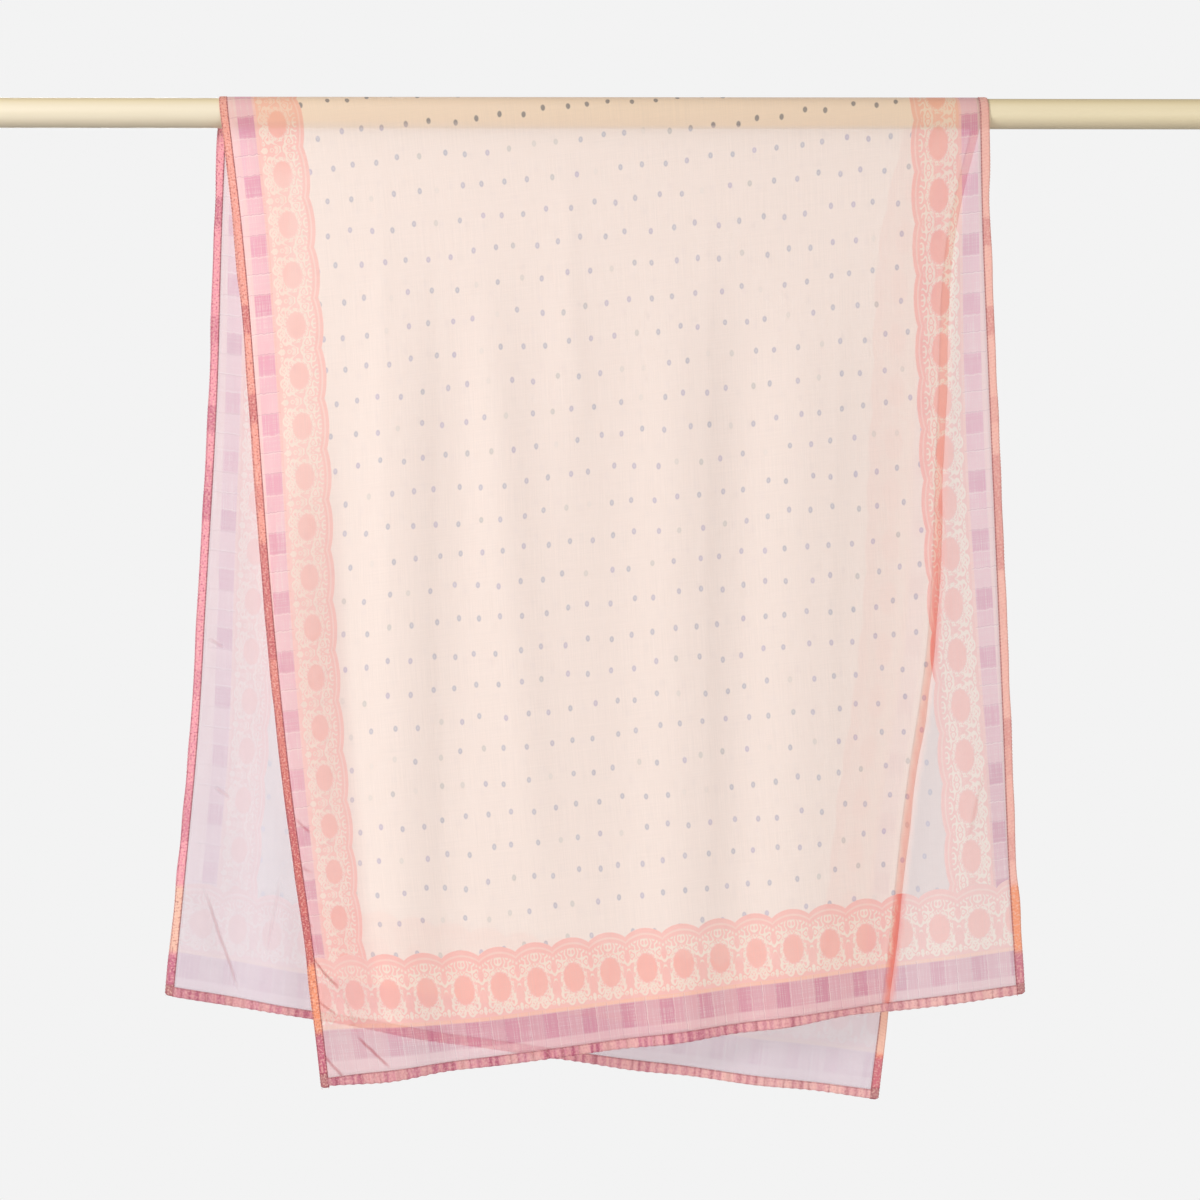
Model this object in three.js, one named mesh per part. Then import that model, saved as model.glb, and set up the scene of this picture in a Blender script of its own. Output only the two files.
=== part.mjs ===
// A hijab scarf of sheer voile, draped over a hanging rod.
//
// Millimetres, +Z up, +X along the rod, -Y towards the viewer.
// The origin is on the rod's axis at the middle of the scarf.
//
// The scarf is one rectangle of cloth with turned hems on its four edges. It lies
// across the rod at a slant, so its front fall leans to +X and its back fall to -X.
// Each stretch of the cloth is a wall built outwards from its inner face.

import * as THREE from 'three';

// Rod
const ROD_DIAMETER = 28;
const ROD_LENGTH = 1200;
const ROD_SIDES = 48;

// Cloth
const CLOTH_WALL = 1.2;
const HEM_WALL = 1.8;
const SIDE_HEM_WIDTH = 8;
const END_HEM_WIDTH = 9;
const SEAM_GAP = 0.3;

// Grid of each stretch
const ACROSS_STEPS = 28;
const DOWN_STEPS = 22;
const OVER_ROD_STEPS = 12;

// The cloth's inner face over the rod, out far enough for its flats to clear it.
const HALF_FLAT_ANGLE = Math.PI / OVER_ROD_STEPS / 2;
const INNER_RADIUS = (ROD_DIAMETER / 2 + SEAM_GAP) / Math.cos(HALF_FLAT_ANGLE);

// Folds open from flat at the rod to full height this far down a fall.
const FOLD_OPENING = 0.35;

// Edges of the front fall: how far down it (0 at the rod, 1 at the end hem), and
// where its left and right edges hang along the rod.
const FRONT_EDGES = [
  { down: 0.00, left: -356, right: 358 },
  { down: 0.12, left: -343, right: 360 },
  { down: 0.30, left: -329, right: 366 },
  { down: 0.50, left: -315, right: 373 },
  { down: 0.70, left: -296, right: 380 },
  { down: 0.85, left: -277, right: 385 },
  { down: 1.00, left: -261, right: 393 },
];

// Edges of the back fall, which leans the other way.
const BACK_EDGES = [
  { down: 0.00, left: -361, right: 356 },
  { down: 0.12, left: -365, right: 331 },
  { down: 0.30, left: -369, right: 322 },
  { down: 0.55, left: -380, right: 311 },
  { down: 0.70, left: -387, right: 291 },
  { down: 0.85, left: -398, right: 276 },
  { down: 1.00, left: -410, right: 259 },
];

// Soft folds of the front fall, which hang nearly plumb: where each one starts and
// ends along the rod, half its width, how far it stands out (or in, below zero),
// and the part of the fall that it runs down.
const FRONT_FOLDS = [
  { top: -245, foot: -222, half: 30, height: -3.0, from: 0.15, to: 1.30 },
  { top: -194, foot: -192, half: 38, height: 6.5, from: 0.02, to: 1.30 },
  { top: -128, foot: -140, half: 26, height: -3.5, from: 0.10, to: 1.30 },
  { top: -122, foot: -48, half: 24, height: 4.5, from: 0.02, to: 0.95 },
  { top: -40, foot: -12, half: 18, height: 2.5, from: 0.00, to: 0.50 },
  { top: 15, foot: 22, half: 34, height: -3.0, from: 0.15, to: 1.30 },
  { top: 70, foot: 74, half: 34, height: 5.5, from: 0.02, to: 1.30 },
  { top: 132, foot: 128, half: 28, height: -3.5, from: 0.10, to: 1.30 },
  { top: 190, foot: 180, half: 36, height: 4.5, from: 0.05, to: 1.30 },
  { top: 285, foot: 262, half: 32, height: -3.0, from: 0.15, to: 1.30 },
  { top: 335, foot: 330, half: 30, height: 3.0, from: 0.35, to: 1.30 },
];

// Soft folds of the back fall.
const BACK_FOLDS = [
  { top: -325, foot: -348, half: 30, height: 4.0, from: 0.20, to: 1.30 },
  { top: -280, foot: -300, half: 28, height: -3.0, from: 0.20, to: 1.30 },
  { top: -205, foot: -228, half: 36, height: 5.5, from: 0.04, to: 1.30 },
  { top: -130, foot: -150, half: 30, height: -3.5, from: 0.12, to: 1.30 },
  { top: -62, foot: -78, half: 32, height: 4.5, from: 0.02, to: 1.30 },
  { top: 24, foot: 6, half: 28, height: -3.0, from: 0.05, to: 0.85 },
  { top: 96, foot: 74, half: 36, height: 6.0, from: 0.02, to: 1.30 },
  { top: 172, foot: 146, half: 28, height: -3.0, from: 0.15, to: 1.30 },
  { top: 240, foot: 206, half: 32, height: 4.0, from: 0.10, to: 1.30 },
];

// A fall of cloth: the side of the rod that it hangs on, how far its two bottom
// corners reach below the rod's axis, how much its end sags between them, and its
// edges and folds.
const FRONT = {
  side: -1,
  leftDrop: 911,
  rightDrop: 822,
  endSag: 1,
  edges: FRONT_EDGES,
  folds: FRONT_FOLDS,
};
const BACK = {
  side: 1,
  leftDrop: 828,
  rightDrop: 925,
  endSag: 6,
  edges: BACK_EDGES,
  folds: BACK_FOLDS,
};

const COLOURS = {
  rod: 0xf0e2c4,
  cloth: 0xf2dcd4,
  hem: 0xd98a8f,
};

// A smooth curve through one column of an edge table.
function edgeCurve(edges, column) {
  const downs = edges.map((row) => row.down);
  const values = edges.map((row) => row[column]);
  return new THREE.CubicInterpolant(downs, values, 1);
}

for (const fall of [FRONT, BACK]) {
  fall.leftEdge = edgeCurve(fall.edges, 'left');
  fall.rightEdge = edgeCurve(fall.edges, 'right');
}

function edgeAt(curve, down) {
  return curve.evaluate(THREE.MathUtils.clamp(down, 0, 1))[0];
}

function widthAt(fall, down) {
  return edgeAt(fall.rightEdge, down) - edgeAt(fall.leftEdge, down);
}

// How far the folds move the cloth away from the rod's side at one place.
function foldDepth(fall, x, down) {
  const open = THREE.MathUtils.smoothstep(down, 0, FOLD_OPENING);
  let depth = 0;
  for (const fold of fall.folds) {
    const centre = THREE.MathUtils.lerp(fold.top, fold.foot, down);
    const across = (x - centre) / fold.half;
    const bell = Math.exp(-across * across);
    const fadeIn = THREE.MathUtils.smoothstep(down, fold.from, fold.from + 0.3);
    const fadeOut = 1 - THREE.MathUtils.smoothstep(down, fold.to - 0.3, fold.to);
    depth += fold.height * bell * fadeIn * fadeOut;
  }
  return depth * open;
}

// A point of a fall's inner face: across is 0 at its left edge and 1 at its right,
// down is 0 at the rod and 1 at the end.
function fallPoint(fall, across, down) {
  const x = THREE.MathUtils.lerp(edgeAt(fall.leftEdge, down), edgeAt(fall.rightEdge, down), across);
  const drop = THREE.MathUtils.lerp(fall.leftDrop, fall.rightDrop, across);
  const sag = fall.endSag * Math.sin(Math.PI * across);
  const start = SEAM_GAP / 2;
  const z = -(start + (drop + sag - start) * down);
  const y = fall.side * (INNER_RADIUS + foldDepth(fall, x, down));
  return new THREE.Vector3(x, y, z);
}

// A point of the inner face over the rod: over is 0 where the front fall begins and
// 1 where the back fall begins.
function saddlePoint(across, over) {
  const left = THREE.MathUtils.lerp(edgeAt(FRONT.leftEdge, 0), edgeAt(BACK.leftEdge, 0), over);
  const right = THREE.MathUtils.lerp(edgeAt(FRONT.rightEdge, 0), edgeAt(BACK.rightEdge, 0), over);
  const start = SEAM_GAP / 2 / INNER_RADIUS;
  const angle = THREE.MathUtils.lerp(start, Math.PI - start, over);
  const x = THREE.MathUtils.lerp(left, right, across);
  return new THREE.Vector3(x, -INNER_RADIUS * Math.cos(angle), INNER_RADIUS * Math.sin(angle));
}

// The direction out of the cloth at a point of a surface, from its two tangents.
function outwardNormal(surface, a, b) {
  const step = 1e-3;
  const alongA = surface(a + step, b).sub(surface(a - step, b));
  const alongB = surface(a, b + step).sub(surface(a, b - step));
  return alongA.cross(alongB).normalize();
}

// A closed wall over a surface: surface(a, b) gives its inner face for a and b from
// 0 to 1, with a x b pointing outwards, and the wall's thickness goes outwards.
function clothWall(surface, stepsA, stepsB, thickness) {
  const positions = [];
  const indices = [];
  const rowLength = stepsB + 1;
  const layerSize = (stepsA + 1) * rowLength;
  for (const offset of [0, thickness]) {
    for (let i = 0; i <= stepsA; i++) {
      for (let j = 0; j <= stepsB; j++) {
        const normal = outwardNormal(surface, i / stepsA, j / stepsB);
        const point = surface(i / stepsA, j / stepsB).addScaledVector(normal, offset);
        positions.push(point.x, point.y, point.z);
      }
    }
  }
  const quad = (p, q, r, s) => indices.push(p, q, r, p, r, s);
  const inner = (i, j) => i * rowLength + j;
  const outer = (i, j) => layerSize + i * rowLength + j;
  for (let i = 0; i < stepsA; i++) {
    for (let j = 0; j < stepsB; j++) {
      quad(outer(i, j), outer(i + 1, j), outer(i + 1, j + 1), outer(i, j + 1));
      quad(inner(i, j), inner(i, j + 1), inner(i + 1, j + 1), inner(i + 1, j));
    }
  }
  for (let i = 0; i < stepsA; i++) {
    quad(inner(i, 0), inner(i + 1, 0), outer(i + 1, 0), outer(i, 0));
    quad(outer(i, stepsB), outer(i + 1, stepsB), inner(i + 1, stepsB), inner(i, stepsB));
  }
  for (let j = 0; j < stepsB; j++) {
    quad(outer(0, j), outer(0, j + 1), inner(0, j + 1), inner(0, j));
    quad(inner(stepsA, j), inner(stepsA, j + 1), outer(stepsA, j + 1), outer(stepsA, j));
  }
  const geometry = new THREE.BufferGeometry();
  geometry.setAttribute('position', new THREE.Float32BufferAttribute(positions, 3));
  geometry.setIndex(indices);
  geometry.computeVertexNormals();
  return geometry;
}

function clothMesh(name, geometry, colour) {
  const material = new THREE.MeshStandardMaterial({ color: colour, roughness: 0.85, metalness: 0 });
  const mesh = new THREE.Mesh(geometry, material);
  mesh.name = name;
  return mesh;
}

// Share of a fall's width taken by a strip of a given width at one height.
function shareAcross(fall, down, width) {
  return width / widthAt(fall, down);
}

// Share of a fall's length taken by a strip of a given height at one place.
function shareDown(fall, across, height) {
  return height / THREE.MathUtils.lerp(fall.leftDrop, fall.rightDrop, across);
}

// On the front fall, across and then up points out of the cloth, towards -Y; on the
// back fall across and then down does, towards +Y.
function downFrom(fall, b) {
  return fall.side < 0 ? 1 - b : b;
}

function fallPanel(fall) {
  const surface = (a, b) => {
    const inset = shareAcross(fall, downFrom(fall, b), SIDE_HEM_WIDTH + SEAM_GAP);
    const across = THREE.MathUtils.lerp(inset, 1 - inset, a);
    const endDown = 1 - shareDown(fall, across, END_HEM_WIDTH + SEAM_GAP);
    return fallPoint(fall, across, downFrom(fall, b) * endDown);
  };
  return clothWall(surface, ACROSS_STEPS, DOWN_STEPS, CLOTH_WALL);
}

function fallSideHem(fall, edge) {
  const surface = (a, b) => {
    const down = downFrom(fall, b);
    const width = shareAcross(fall, down, SIDE_HEM_WIDTH);
    const across = edge === 'left' ? width * a : 1 - width * (1 - a);
    return fallPoint(fall, across, down);
  };
  return clothWall(surface, 1, DOWN_STEPS, HEM_WALL);
}

function fallEndHem(fall) {
  const surface = (a, b) => {
    const inset = shareAcross(fall, 1, SIDE_HEM_WIDTH + SEAM_GAP);
    const across = THREE.MathUtils.lerp(inset, 1 - inset, a);
    const height = shareDown(fall, across, END_HEM_WIDTH);
    return fallPoint(fall, across, 1 - height * (1 - downFrom(fall, b)));
  };
  return clothWall(surface, ACROSS_STEPS, 1, HEM_WALL);
}

// A strip of the stretch over the rod, between two distances from its left edge.
function saddleStrip(start, end, steps, thickness) {
  const surface = (a, b) => saddlePoint(THREE.MathUtils.lerp(start, end, a), b);
  return clothWall(surface, steps, OVER_ROD_STEPS, thickness);
}

function rodMesh() {
  const geometry = new THREE.CylinderGeometry(
    ROD_DIAMETER / 2, ROD_DIAMETER / 2, ROD_LENGTH, ROD_SIDES);
  const material = new THREE.MeshStandardMaterial({
    color: COLOURS.rod, roughness: 0.45, metalness: 0,
  });
  const mesh = new THREE.Mesh(geometry, material);
  mesh.rotation.z = Math.PI / 2;
  mesh.name = 'rod';
  return mesh;
}

function buildFall(fall, name) {
  const group = new THREE.Group();
  group.add(clothMesh(`${name}_fall`, fallPanel(fall), COLOURS.cloth));
  for (const edge of ['left', 'right']) {
    group.add(clothMesh(`${name}_${edge}_hem`, fallSideHem(fall, edge), COLOURS.hem));
  }
  group.add(clothMesh(`${name}_end_hem`, fallEndHem(fall), COLOURS.hem));
  return group;
}

function buildSaddle() {
  const group = new THREE.Group();
  const hemShare = shareAcross(FRONT, 0, SIDE_HEM_WIDTH);
  const inset = shareAcross(FRONT, 0, SIDE_HEM_WIDTH + SEAM_GAP);
  const cloth = saddleStrip(inset, 1 - inset, ACROSS_STEPS, CLOTH_WALL);
  group.add(clothMesh('over_rod', cloth, COLOURS.cloth));
  const leftHem = saddleStrip(0, hemShare, 1, HEM_WALL);
  group.add(clothMesh('over_rod_left_hem', leftHem, COLOURS.hem));
  const rightHem = saddleStrip(1 - hemShare, 1, 1, HEM_WALL);
  group.add(clothMesh('over_rod_right_hem', rightHem, COLOURS.hem));
  return group;
}

const scarf = new THREE.Group();
scarf.add(rodMesh());
scarf.add(buildSaddle());
scarf.add(buildFall(FRONT, 'front'));
scarf.add(buildFall(BACK, 'back'));

export default scarf;
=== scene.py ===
# %% [markdown]
# # A sheer hijab scarf over a rod
# The scarf is one long rectangle of printed voile, hemmed on all four sides and laid
# at a slant over a round rod. The solid model holds its true size and its large
# folds. This lesson dresses it: thin cloth in two stretches, narrow stitched hems,
# a printed border and a dotted field, and a painted rod.

# %% The fixed frame
import functools
import math

import bpy
import numpy as np
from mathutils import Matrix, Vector


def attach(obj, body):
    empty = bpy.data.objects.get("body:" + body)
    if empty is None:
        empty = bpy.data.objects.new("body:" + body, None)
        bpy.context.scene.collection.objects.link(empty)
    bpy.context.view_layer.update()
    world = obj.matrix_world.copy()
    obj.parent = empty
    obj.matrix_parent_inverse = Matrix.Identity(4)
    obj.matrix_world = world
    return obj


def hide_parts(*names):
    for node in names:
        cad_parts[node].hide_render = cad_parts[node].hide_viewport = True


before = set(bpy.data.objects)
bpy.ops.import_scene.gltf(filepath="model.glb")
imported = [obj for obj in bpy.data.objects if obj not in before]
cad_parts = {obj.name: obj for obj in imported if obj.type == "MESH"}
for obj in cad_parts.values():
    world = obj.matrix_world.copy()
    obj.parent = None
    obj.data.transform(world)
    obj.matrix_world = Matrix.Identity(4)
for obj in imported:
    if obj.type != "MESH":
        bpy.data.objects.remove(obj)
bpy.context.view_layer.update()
print("nodes:", len(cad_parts))

# %% [markdown]
# ## Sizes
# A draped cloth is easiest to describe by what can be measured on it: how far each
# bottom corner hangs, where each edge is at a few heights, and where the folds are.
# Everything else is worked out between those rows. All sizes here are in metres.

# %% Sizes of the cloth and the rod
ROD_RADIUS = 0.014
INNER_RADIUS = 0.01442
CLOTH_OFFSET = 0.0006
CLOTH_THICKNESS = 0.0004
SIDE_HEM_WIDTH = 0.008
END_HEM_WIDTH = 0.009
HALF_LENGTH = 0.900
PRINT_WIDTH = 1.000
LEAN = math.radians(6.8)

FRONT_EDGES = {
    "down": [0.00, 0.12, 0.30, 0.50, 0.70, 0.85, 1.00],
    "left": [-0.356, -0.343, -0.329, -0.315, -0.296, -0.277, -0.261],
    "right": [0.358, 0.360, 0.366, 0.373, 0.380, 0.385, 0.393],
}
BACK_EDGES = {
    "down": [0.00, 0.12, 0.30, 0.55, 0.70, 0.85, 1.00],
    "left": [-0.361, -0.365, -0.369, -0.380, -0.387, -0.398, -0.410],
    "right": [0.356, 0.331, 0.322, 0.311, 0.291, 0.276, 0.259],
}

# %% [markdown]
# ## Folds and creases
# Voile this light hangs in a few broad, low flutes that run nearly plumb. Each row
# is one of them: where it starts and ends along the rod, half its width, how far it
# stands out, and the part of the fall that it runs down. A crease is sharper: it
# has two ends, a half width and a height. A simulation would make folds too, but not
# these ones in these places, so they are placed one by one.

# %% Folds of both falls, and their creases
# top x, foot x, half width, height, from, to
FRONT_FOLDS = [
    (-0.245, -0.222, 0.030, -0.0030, 0.15, 1.30),
    (-0.194, -0.192, 0.038, 0.0065, 0.02, 1.30),
    (-0.128, -0.140, 0.026, -0.0035, 0.10, 1.30),
    (-0.122, -0.048, 0.024, 0.0045, 0.02, 0.95),
    (-0.040, -0.012, 0.018, 0.0025, 0.00, 0.50),
    (0.015, 0.022, 0.034, -0.0030, 0.15, 1.30),
    (0.070, 0.074, 0.034, 0.0055, 0.02, 1.30),
    (0.132, 0.128, 0.028, -0.0035, 0.10, 1.30),
    (0.190, 0.180, 0.036, 0.0045, 0.05, 1.30),
    (0.285, 0.262, 0.032, -0.0030, 0.15, 1.30),
    (0.335, 0.330, 0.030, 0.0030, 0.35, 1.30),
]
BACK_FOLDS = [
    (-0.325, -0.348, 0.030, 0.0040, 0.20, 1.30),
    (-0.280, -0.300, 0.028, -0.0030, 0.20, 1.30),
    (-0.205, -0.228, 0.036, 0.0055, 0.04, 1.30),
    (-0.130, -0.150, 0.030, -0.0035, 0.12, 1.30),
    (-0.062, -0.078, 0.032, 0.0045, 0.02, 1.30),
    (0.024, 0.006, 0.028, -0.0030, 0.05, 0.85),
    (0.096, 0.074, 0.036, 0.0060, 0.02, 1.30),
    (0.172, 0.146, 0.028, -0.0030, 0.15, 1.30),
    (0.240, 0.206, 0.032, 0.0040, 0.10, 1.30),
]

# x and z of one end, x and z of the other, half width, height, darkness of its painted shade
FRONT_CREASES = [
    (-0.2786, -0.7742, -0.2400, -0.8190, 0.0070, 0.0012, 1.0),
    (-0.2410, -0.8180, -0.2260, -0.8600, 0.0070, 0.0010, 0.4),
    (-0.2291, -0.8572, -0.1937, -0.8899, 0.0070, 0.0012, 0.9),
    (-0.2660, -0.8240, -0.2460, -0.8400, 0.0060, 0.0008, 0.8),
    (-0.2609, -0.8731, -0.2375, -0.9002, 0.0060, 0.0008, 0.8),
    (-0.2860, -0.6560, -0.2700, -0.6720, 0.0060, 0.0006, 0.7),
    (-0.2835, -0.7000, -0.2690, -0.7080, 0.0060, 0.0006, 0.6),
    (-0.2795, -0.7470, -0.2670, -0.7590, 0.0060, 0.0006, 0.7),
    (0.3560, -0.6060, 0.3380, -0.6800, 0.0070, 0.0008, 0.3),
    (-0.2070, -0.0600, -0.2010, -0.5200, 0.0080, 0.0009, 0.0),
    (-0.1560, -0.1200, -0.1500, -0.7600, 0.0080, -0.0008, 0.0),
    (-0.0380, -0.0400, -0.0180, -0.3000, 0.0080, 0.0009, 0.0),
    (0.0960, -0.1000, 0.0980, -0.7600, 0.0080, 0.0010, 0.0),
    (0.2210, -0.1500, 0.2080, -0.6400, 0.0080, 0.0008, 0.0),
]
BACK_CREASES = [
    (-0.3747, -0.7219, -0.3402, -0.8246, 0.0080, 0.0014, 0.6),
    (-0.3010, -0.7100, -0.3159, -0.7910, 0.0080, 0.0010, 0.2),
    (-0.3700, -0.4900, -0.3560, -0.5000, 0.0060, 0.0006, 0.4),
    (-0.3640, -0.6300, -0.3500, -0.6400, 0.0060, 0.0006, 0.4),
    (0.0600, -0.1200, 0.0480, -0.4200, 0.0080, 0.0010, 0.0),
    (-0.1100, -0.3000, -0.1180, -0.6100, 0.0080, -0.0010, 0.0),
]

FRONT_LEFT_BORDER = {
    "down": [0.00, 0.07, 0.38, 0.52, 0.74, 0.84, 1.00],
    "start": [0.0154, 0.0149, 0.0103, 0.0084, 0.0061, 0.0060, 0.0100],
    "end": [0.0308, 0.0299, 0.0261, 0.0238, 0.0196, 0.0170, 0.0240],
    "outer": [0.0765, 0.0765, 0.0719, 0.0663, 0.0597, 0.0560, 0.0600],
}
FRONT_RIGHT_BORDER = {
    "down": [0.00, 0.10, 0.33, 0.60, 0.82, 1.00],
    "start": [0.0103, 0.0107, 0.0144, 0.0121, 0.0090, 0.0084],
    "end": [0.0252, 0.0259, 0.0305, 0.0271, 0.0208, 0.0196],
    "outer": [0.0728, 0.0733, 0.0750, 0.0728, 0.0672, 0.0653],
}
BACK_LEFT_BORDER = {
    "down": [0.00, 0.45, 0.71, 0.85, 1.00],
    "start": [0.0131, 0.0175, 0.0224, 0.0243, 0.0252],
    "end": [0.0280, 0.0312, 0.0364, 0.0373, 0.0383],
    "outer": [0.0709, 0.0728, 0.0747, 0.0765, 0.0775],
}
BACK_RIGHT_BORDER = {
    "down": [0.00, 0.50, 1.00],
    "start": [0.0131, 0.0131, 0.0131],
    "end": [0.0280, 0.0280, 0.0280],
    "outer": [0.0709, 0.0709, 0.0700],
}

FRONT = {
    "side": -1, "left_drop": 0.908, "right_drop": 0.819, "sag": 0.001,
    "edges": FRONT_EDGES, "folds": FRONT_FOLDS, "creases": FRONT_CREASES,
    "left_border": FRONT_LEFT_BORDER, "right_border": FRONT_RIGHT_BORDER, "pulled": 0.0115,
}
BACK = {
    "side": 1, "left_drop": 0.825, "right_drop": 0.9225, "sag": 0.006,
    "edges": BACK_EDGES, "folds": BACK_FOLDS, "creases": BACK_CREASES,
    "left_border": BACK_LEFT_BORDER, "right_border": BACK_RIGHT_BORDER, "pulled": 0.0,
}
print("folds:", len(FRONT_FOLDS + BACK_FOLDS), "creases:", len(FRONT_CREASES + BACK_CREASES))


# %% Curves through the rows
def smooth_through(knots, values, at):
    """A smooth curve through the rows of a table, with slopes taken from neighbours."""
    knots, values = np.asarray(knots), np.asarray(values)
    slopes = np.gradient(values, knots)
    at = np.clip(at, knots[0], knots[-1])
    i = np.clip(np.searchsorted(knots, at, side="right") - 1, 0, len(knots) - 2)
    gap = knots[i + 1] - knots[i]
    f = (at - knots[i]) / gap
    start = (1 + 2 * f) * (1 - f) ** 2 * values[i] + f * (1 - f) ** 2 * gap * slopes[i]
    end = f * f * (3 - 2 * f) * values[i + 1] + f * f * (f - 1) * gap * slopes[i + 1]
    return start + end


def ease(value, low, high):
    f = np.clip((value - low) / (high - low), 0, 1)
    return f * f * (3 - 2 * f)


def edge(fall, name, down):
    return smooth_through(fall["edges"]["down"], fall["edges"][name], down)


def width_at(fall, down):
    return edge(fall, "right", down) - edge(fall, "left", down)


def drop_at(fall, across):
    straight = fall["left_drop"] + (fall["right_drop"] - fall["left_drop"]) * across
    return straight + fall["sag"] * np.sin(np.pi * across)


# %% [markdown]
# ## The surface of a fall
# A fall is a surface with two directions: across, from the left edge to the right,
# and down, from the rod to the end hem. One function gives any point on it, and the
# cloth, the hems and the stitches all ask that function, so they always agree.

# %% Depth of the folds and creases
def fold_depth(fall, x, down):
    depth = np.zeros_like(x)
    for top, foot, half, height, start, stop in fall["folds"]:
        centre = top + (foot - top) * down
        bell = np.exp(-(((x - centre) / half) ** 2))
        run = ease(down, start, start + 0.3) * (1 - ease(down, stop - 0.3, stop))
        depth += height * bell * run
    return depth * ease(down, 0, 0.35)


def crease_depth(fall, x, z):
    depth = np.zeros_like(x)
    for x0, z0, x1, z1, half, height, _ in fall["creases"]:
        length = math.hypot(x1 - x0, z1 - z0)
        ux, uz = (x1 - x0) / length, (z1 - z0) / length
        along = ((x - x0) * ux + (z - z0) * uz) / length
        off = (x - x0) * uz - (z - z0) * ux
        off = off + 0.0015 * np.sin(9 * along)
        fade = ease(along, -0.12, 0.2) * (1 - ease(along, 0.75, 1.12))
        depth += height * fade / (1 + (off / half) ** 2)
    return depth


# %% Points of a fall and of the turn over the rod
def fall_points(fall, across, down):
    """Points of the cloth's middle, for arrays of across and down."""
    left, right = edge(fall, "left", down), edge(fall, "right", down)
    x = left + (right - left) * across
    z = -drop_at(fall, across) * down
    depth = fold_depth(fall, x, down) + crease_depth(fall, x, z)
    y = fall["side"] * (INNER_RADIUS + CLOTH_OFFSET + depth)
    return np.stack([x, y, z], axis=-1)


def turn_points(across, over):
    """Points over the rod: over is 0 at the front fall and 1 at the back fall."""
    left = FRONT_EDGES["left"][0] + (BACK_EDGES["left"][0] - FRONT_EDGES["left"][0]) * over
    right = FRONT_EDGES["right"][0] + (BACK_EDGES["right"][0] - FRONT_EDGES["right"][0]) * over
    radius = INNER_RADIUS + CLOTH_OFFSET
    x = left + (right - left) * across
    return np.stack([x, -radius * np.cos(np.pi * over), radius * np.sin(np.pi * over)], axis=-1)


# %% [markdown]
# ## Where each point was on the flat cloth
# A print follows the cloth, not the room. Unroll the scarf and the rod's line crosses
# it at the lean angle, so a point's place along the cloth is its distance from the
# rod's top times the cosine of the lean, plus its place along the rod times the sine.
# Across the cloth the borders keep their width, apart from where an edge curls in,
# and the flutes take up the field. The print is kept in its own metres: 1.0 across
# the cloth and 0.9 to each end.

# %% Cloth coordinates
CHECK_START = 17.5
CHECK_END = 39.5
BORDER_TOP = 101.5
QUARTER_TURN = math.pi / 2 * (INNER_RADIUS + CLOTH_OFFSET)
TOP_WIDTH = FRONT_EDGES["right"][0] - FRONT_EDGES["left"][0]


def border_reach(border, down, distance):
    """How much of a border's print lies within a distance of the fold of its hem."""
    rows = (border[name] for name in ("start", "end", "outer"))
    start, end, outer = (smooth_through(border["down"], row, down) for row in rows)
    margin = np.clip(distance / start, 0, 1) * CHECK_START
    checks = np.clip((distance - start) / (end - start), 0, 1) * (CHECK_END - CHECK_START)
    lace = np.clip((distance - end) / (outer - end), 0, 1) * (BORDER_TOP - CHECK_END)
    return (margin + checks + lace) / 1000, outer


def print_across(fall, across, down, width):
    """The print's across for a place on the cloth: two borders and the field between."""
    reach = BORDER_TOP / 1000
    left, left_outer = border_reach(fall["left_border"], down, across * width)
    right, right_outer = border_reach(fall["right_border"], down, (1 - across) * width)
    field = np.clip((across * width - left_outer) / (width - left_outer - right_outer), 0, 1)
    return left + field * (PRINT_WIDTH - 2 * reach) + reach - right


def pull_of_corner(fall, across, from_foot):
    """How far the print slips down near a corner that hangs by its bias."""
    near_corner = 1 - ease(across, 0.0, 0.26)
    near_foot = np.minimum(from_foot / 0.055, 1) * (1 - ease(from_foot, 0.12, 0.28))
    return fall["pulled"] * near_corner * near_foot


def fall_print(fall, across, down):
    x = fall_points(fall, across, down)[..., 0]
    lean = -fall["side"] * x * math.sin(LEAN)
    run = QUARTER_TURN + drop_at(fall, across) * down
    run = run + pull_of_corner(fall, across, drop_at(fall, across) * (1 - down))
    foot = QUARTER_TURN + drop_at(fall, across)
    foot_x = fall_points(fall, across, np.ones_like(down))[..., 0]
    end = foot * math.cos(LEAN) - fall["side"] * foot_x * math.sin(LEAN)
    stretch = 1 + (HALF_LENGTH / end - 1) * run / foot
    along = (run * math.cos(LEAN) + lean) * stretch
    print_x = print_across(fall, across, down, width_at(fall, down))
    return np.stack([print_x, -fall["side"] * along], axis=-1)


def turn_print(across, over):
    x = turn_points(across, over)[..., 0]
    run = QUARTER_TURN * (1 - 2 * over)
    along = run * math.cos(LEAN) + x * math.sin(LEAN)
    top = np.zeros_like(across)
    front, back = (print_across(fall, across, top, TOP_WIDTH) for fall in (FRONT, BACK))
    return np.stack([front + (back - front) * over, along], axis=-1)


# %% [markdown]
# ## What lies behind the cloth
# Voile is sheer, so its colour changes with what hangs behind it: cool and pale over
# nothing, warm where the other fall backs it, and warmest over the rod. Each vertex
# keeps a number for that, called backing: 0 for nothing, 1 for the other fall, 2 for
# the rod, and a little more on the ridge where the cloth is bent over it. A second
# number marks where a hem of the other fall shows through.

# %% The backing of each point
EDGE_SOFTNESS = 0.003
ROD_EDGE_SOFTNESS = 0.0015
# what the ridge over the rod adds to its backing
RIDGE_BACKING = 0.8
# how far below the rod the hem behind starts to show, and where it shows in full
HEM_FADES_IN = (0.20, 0.60)


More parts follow.
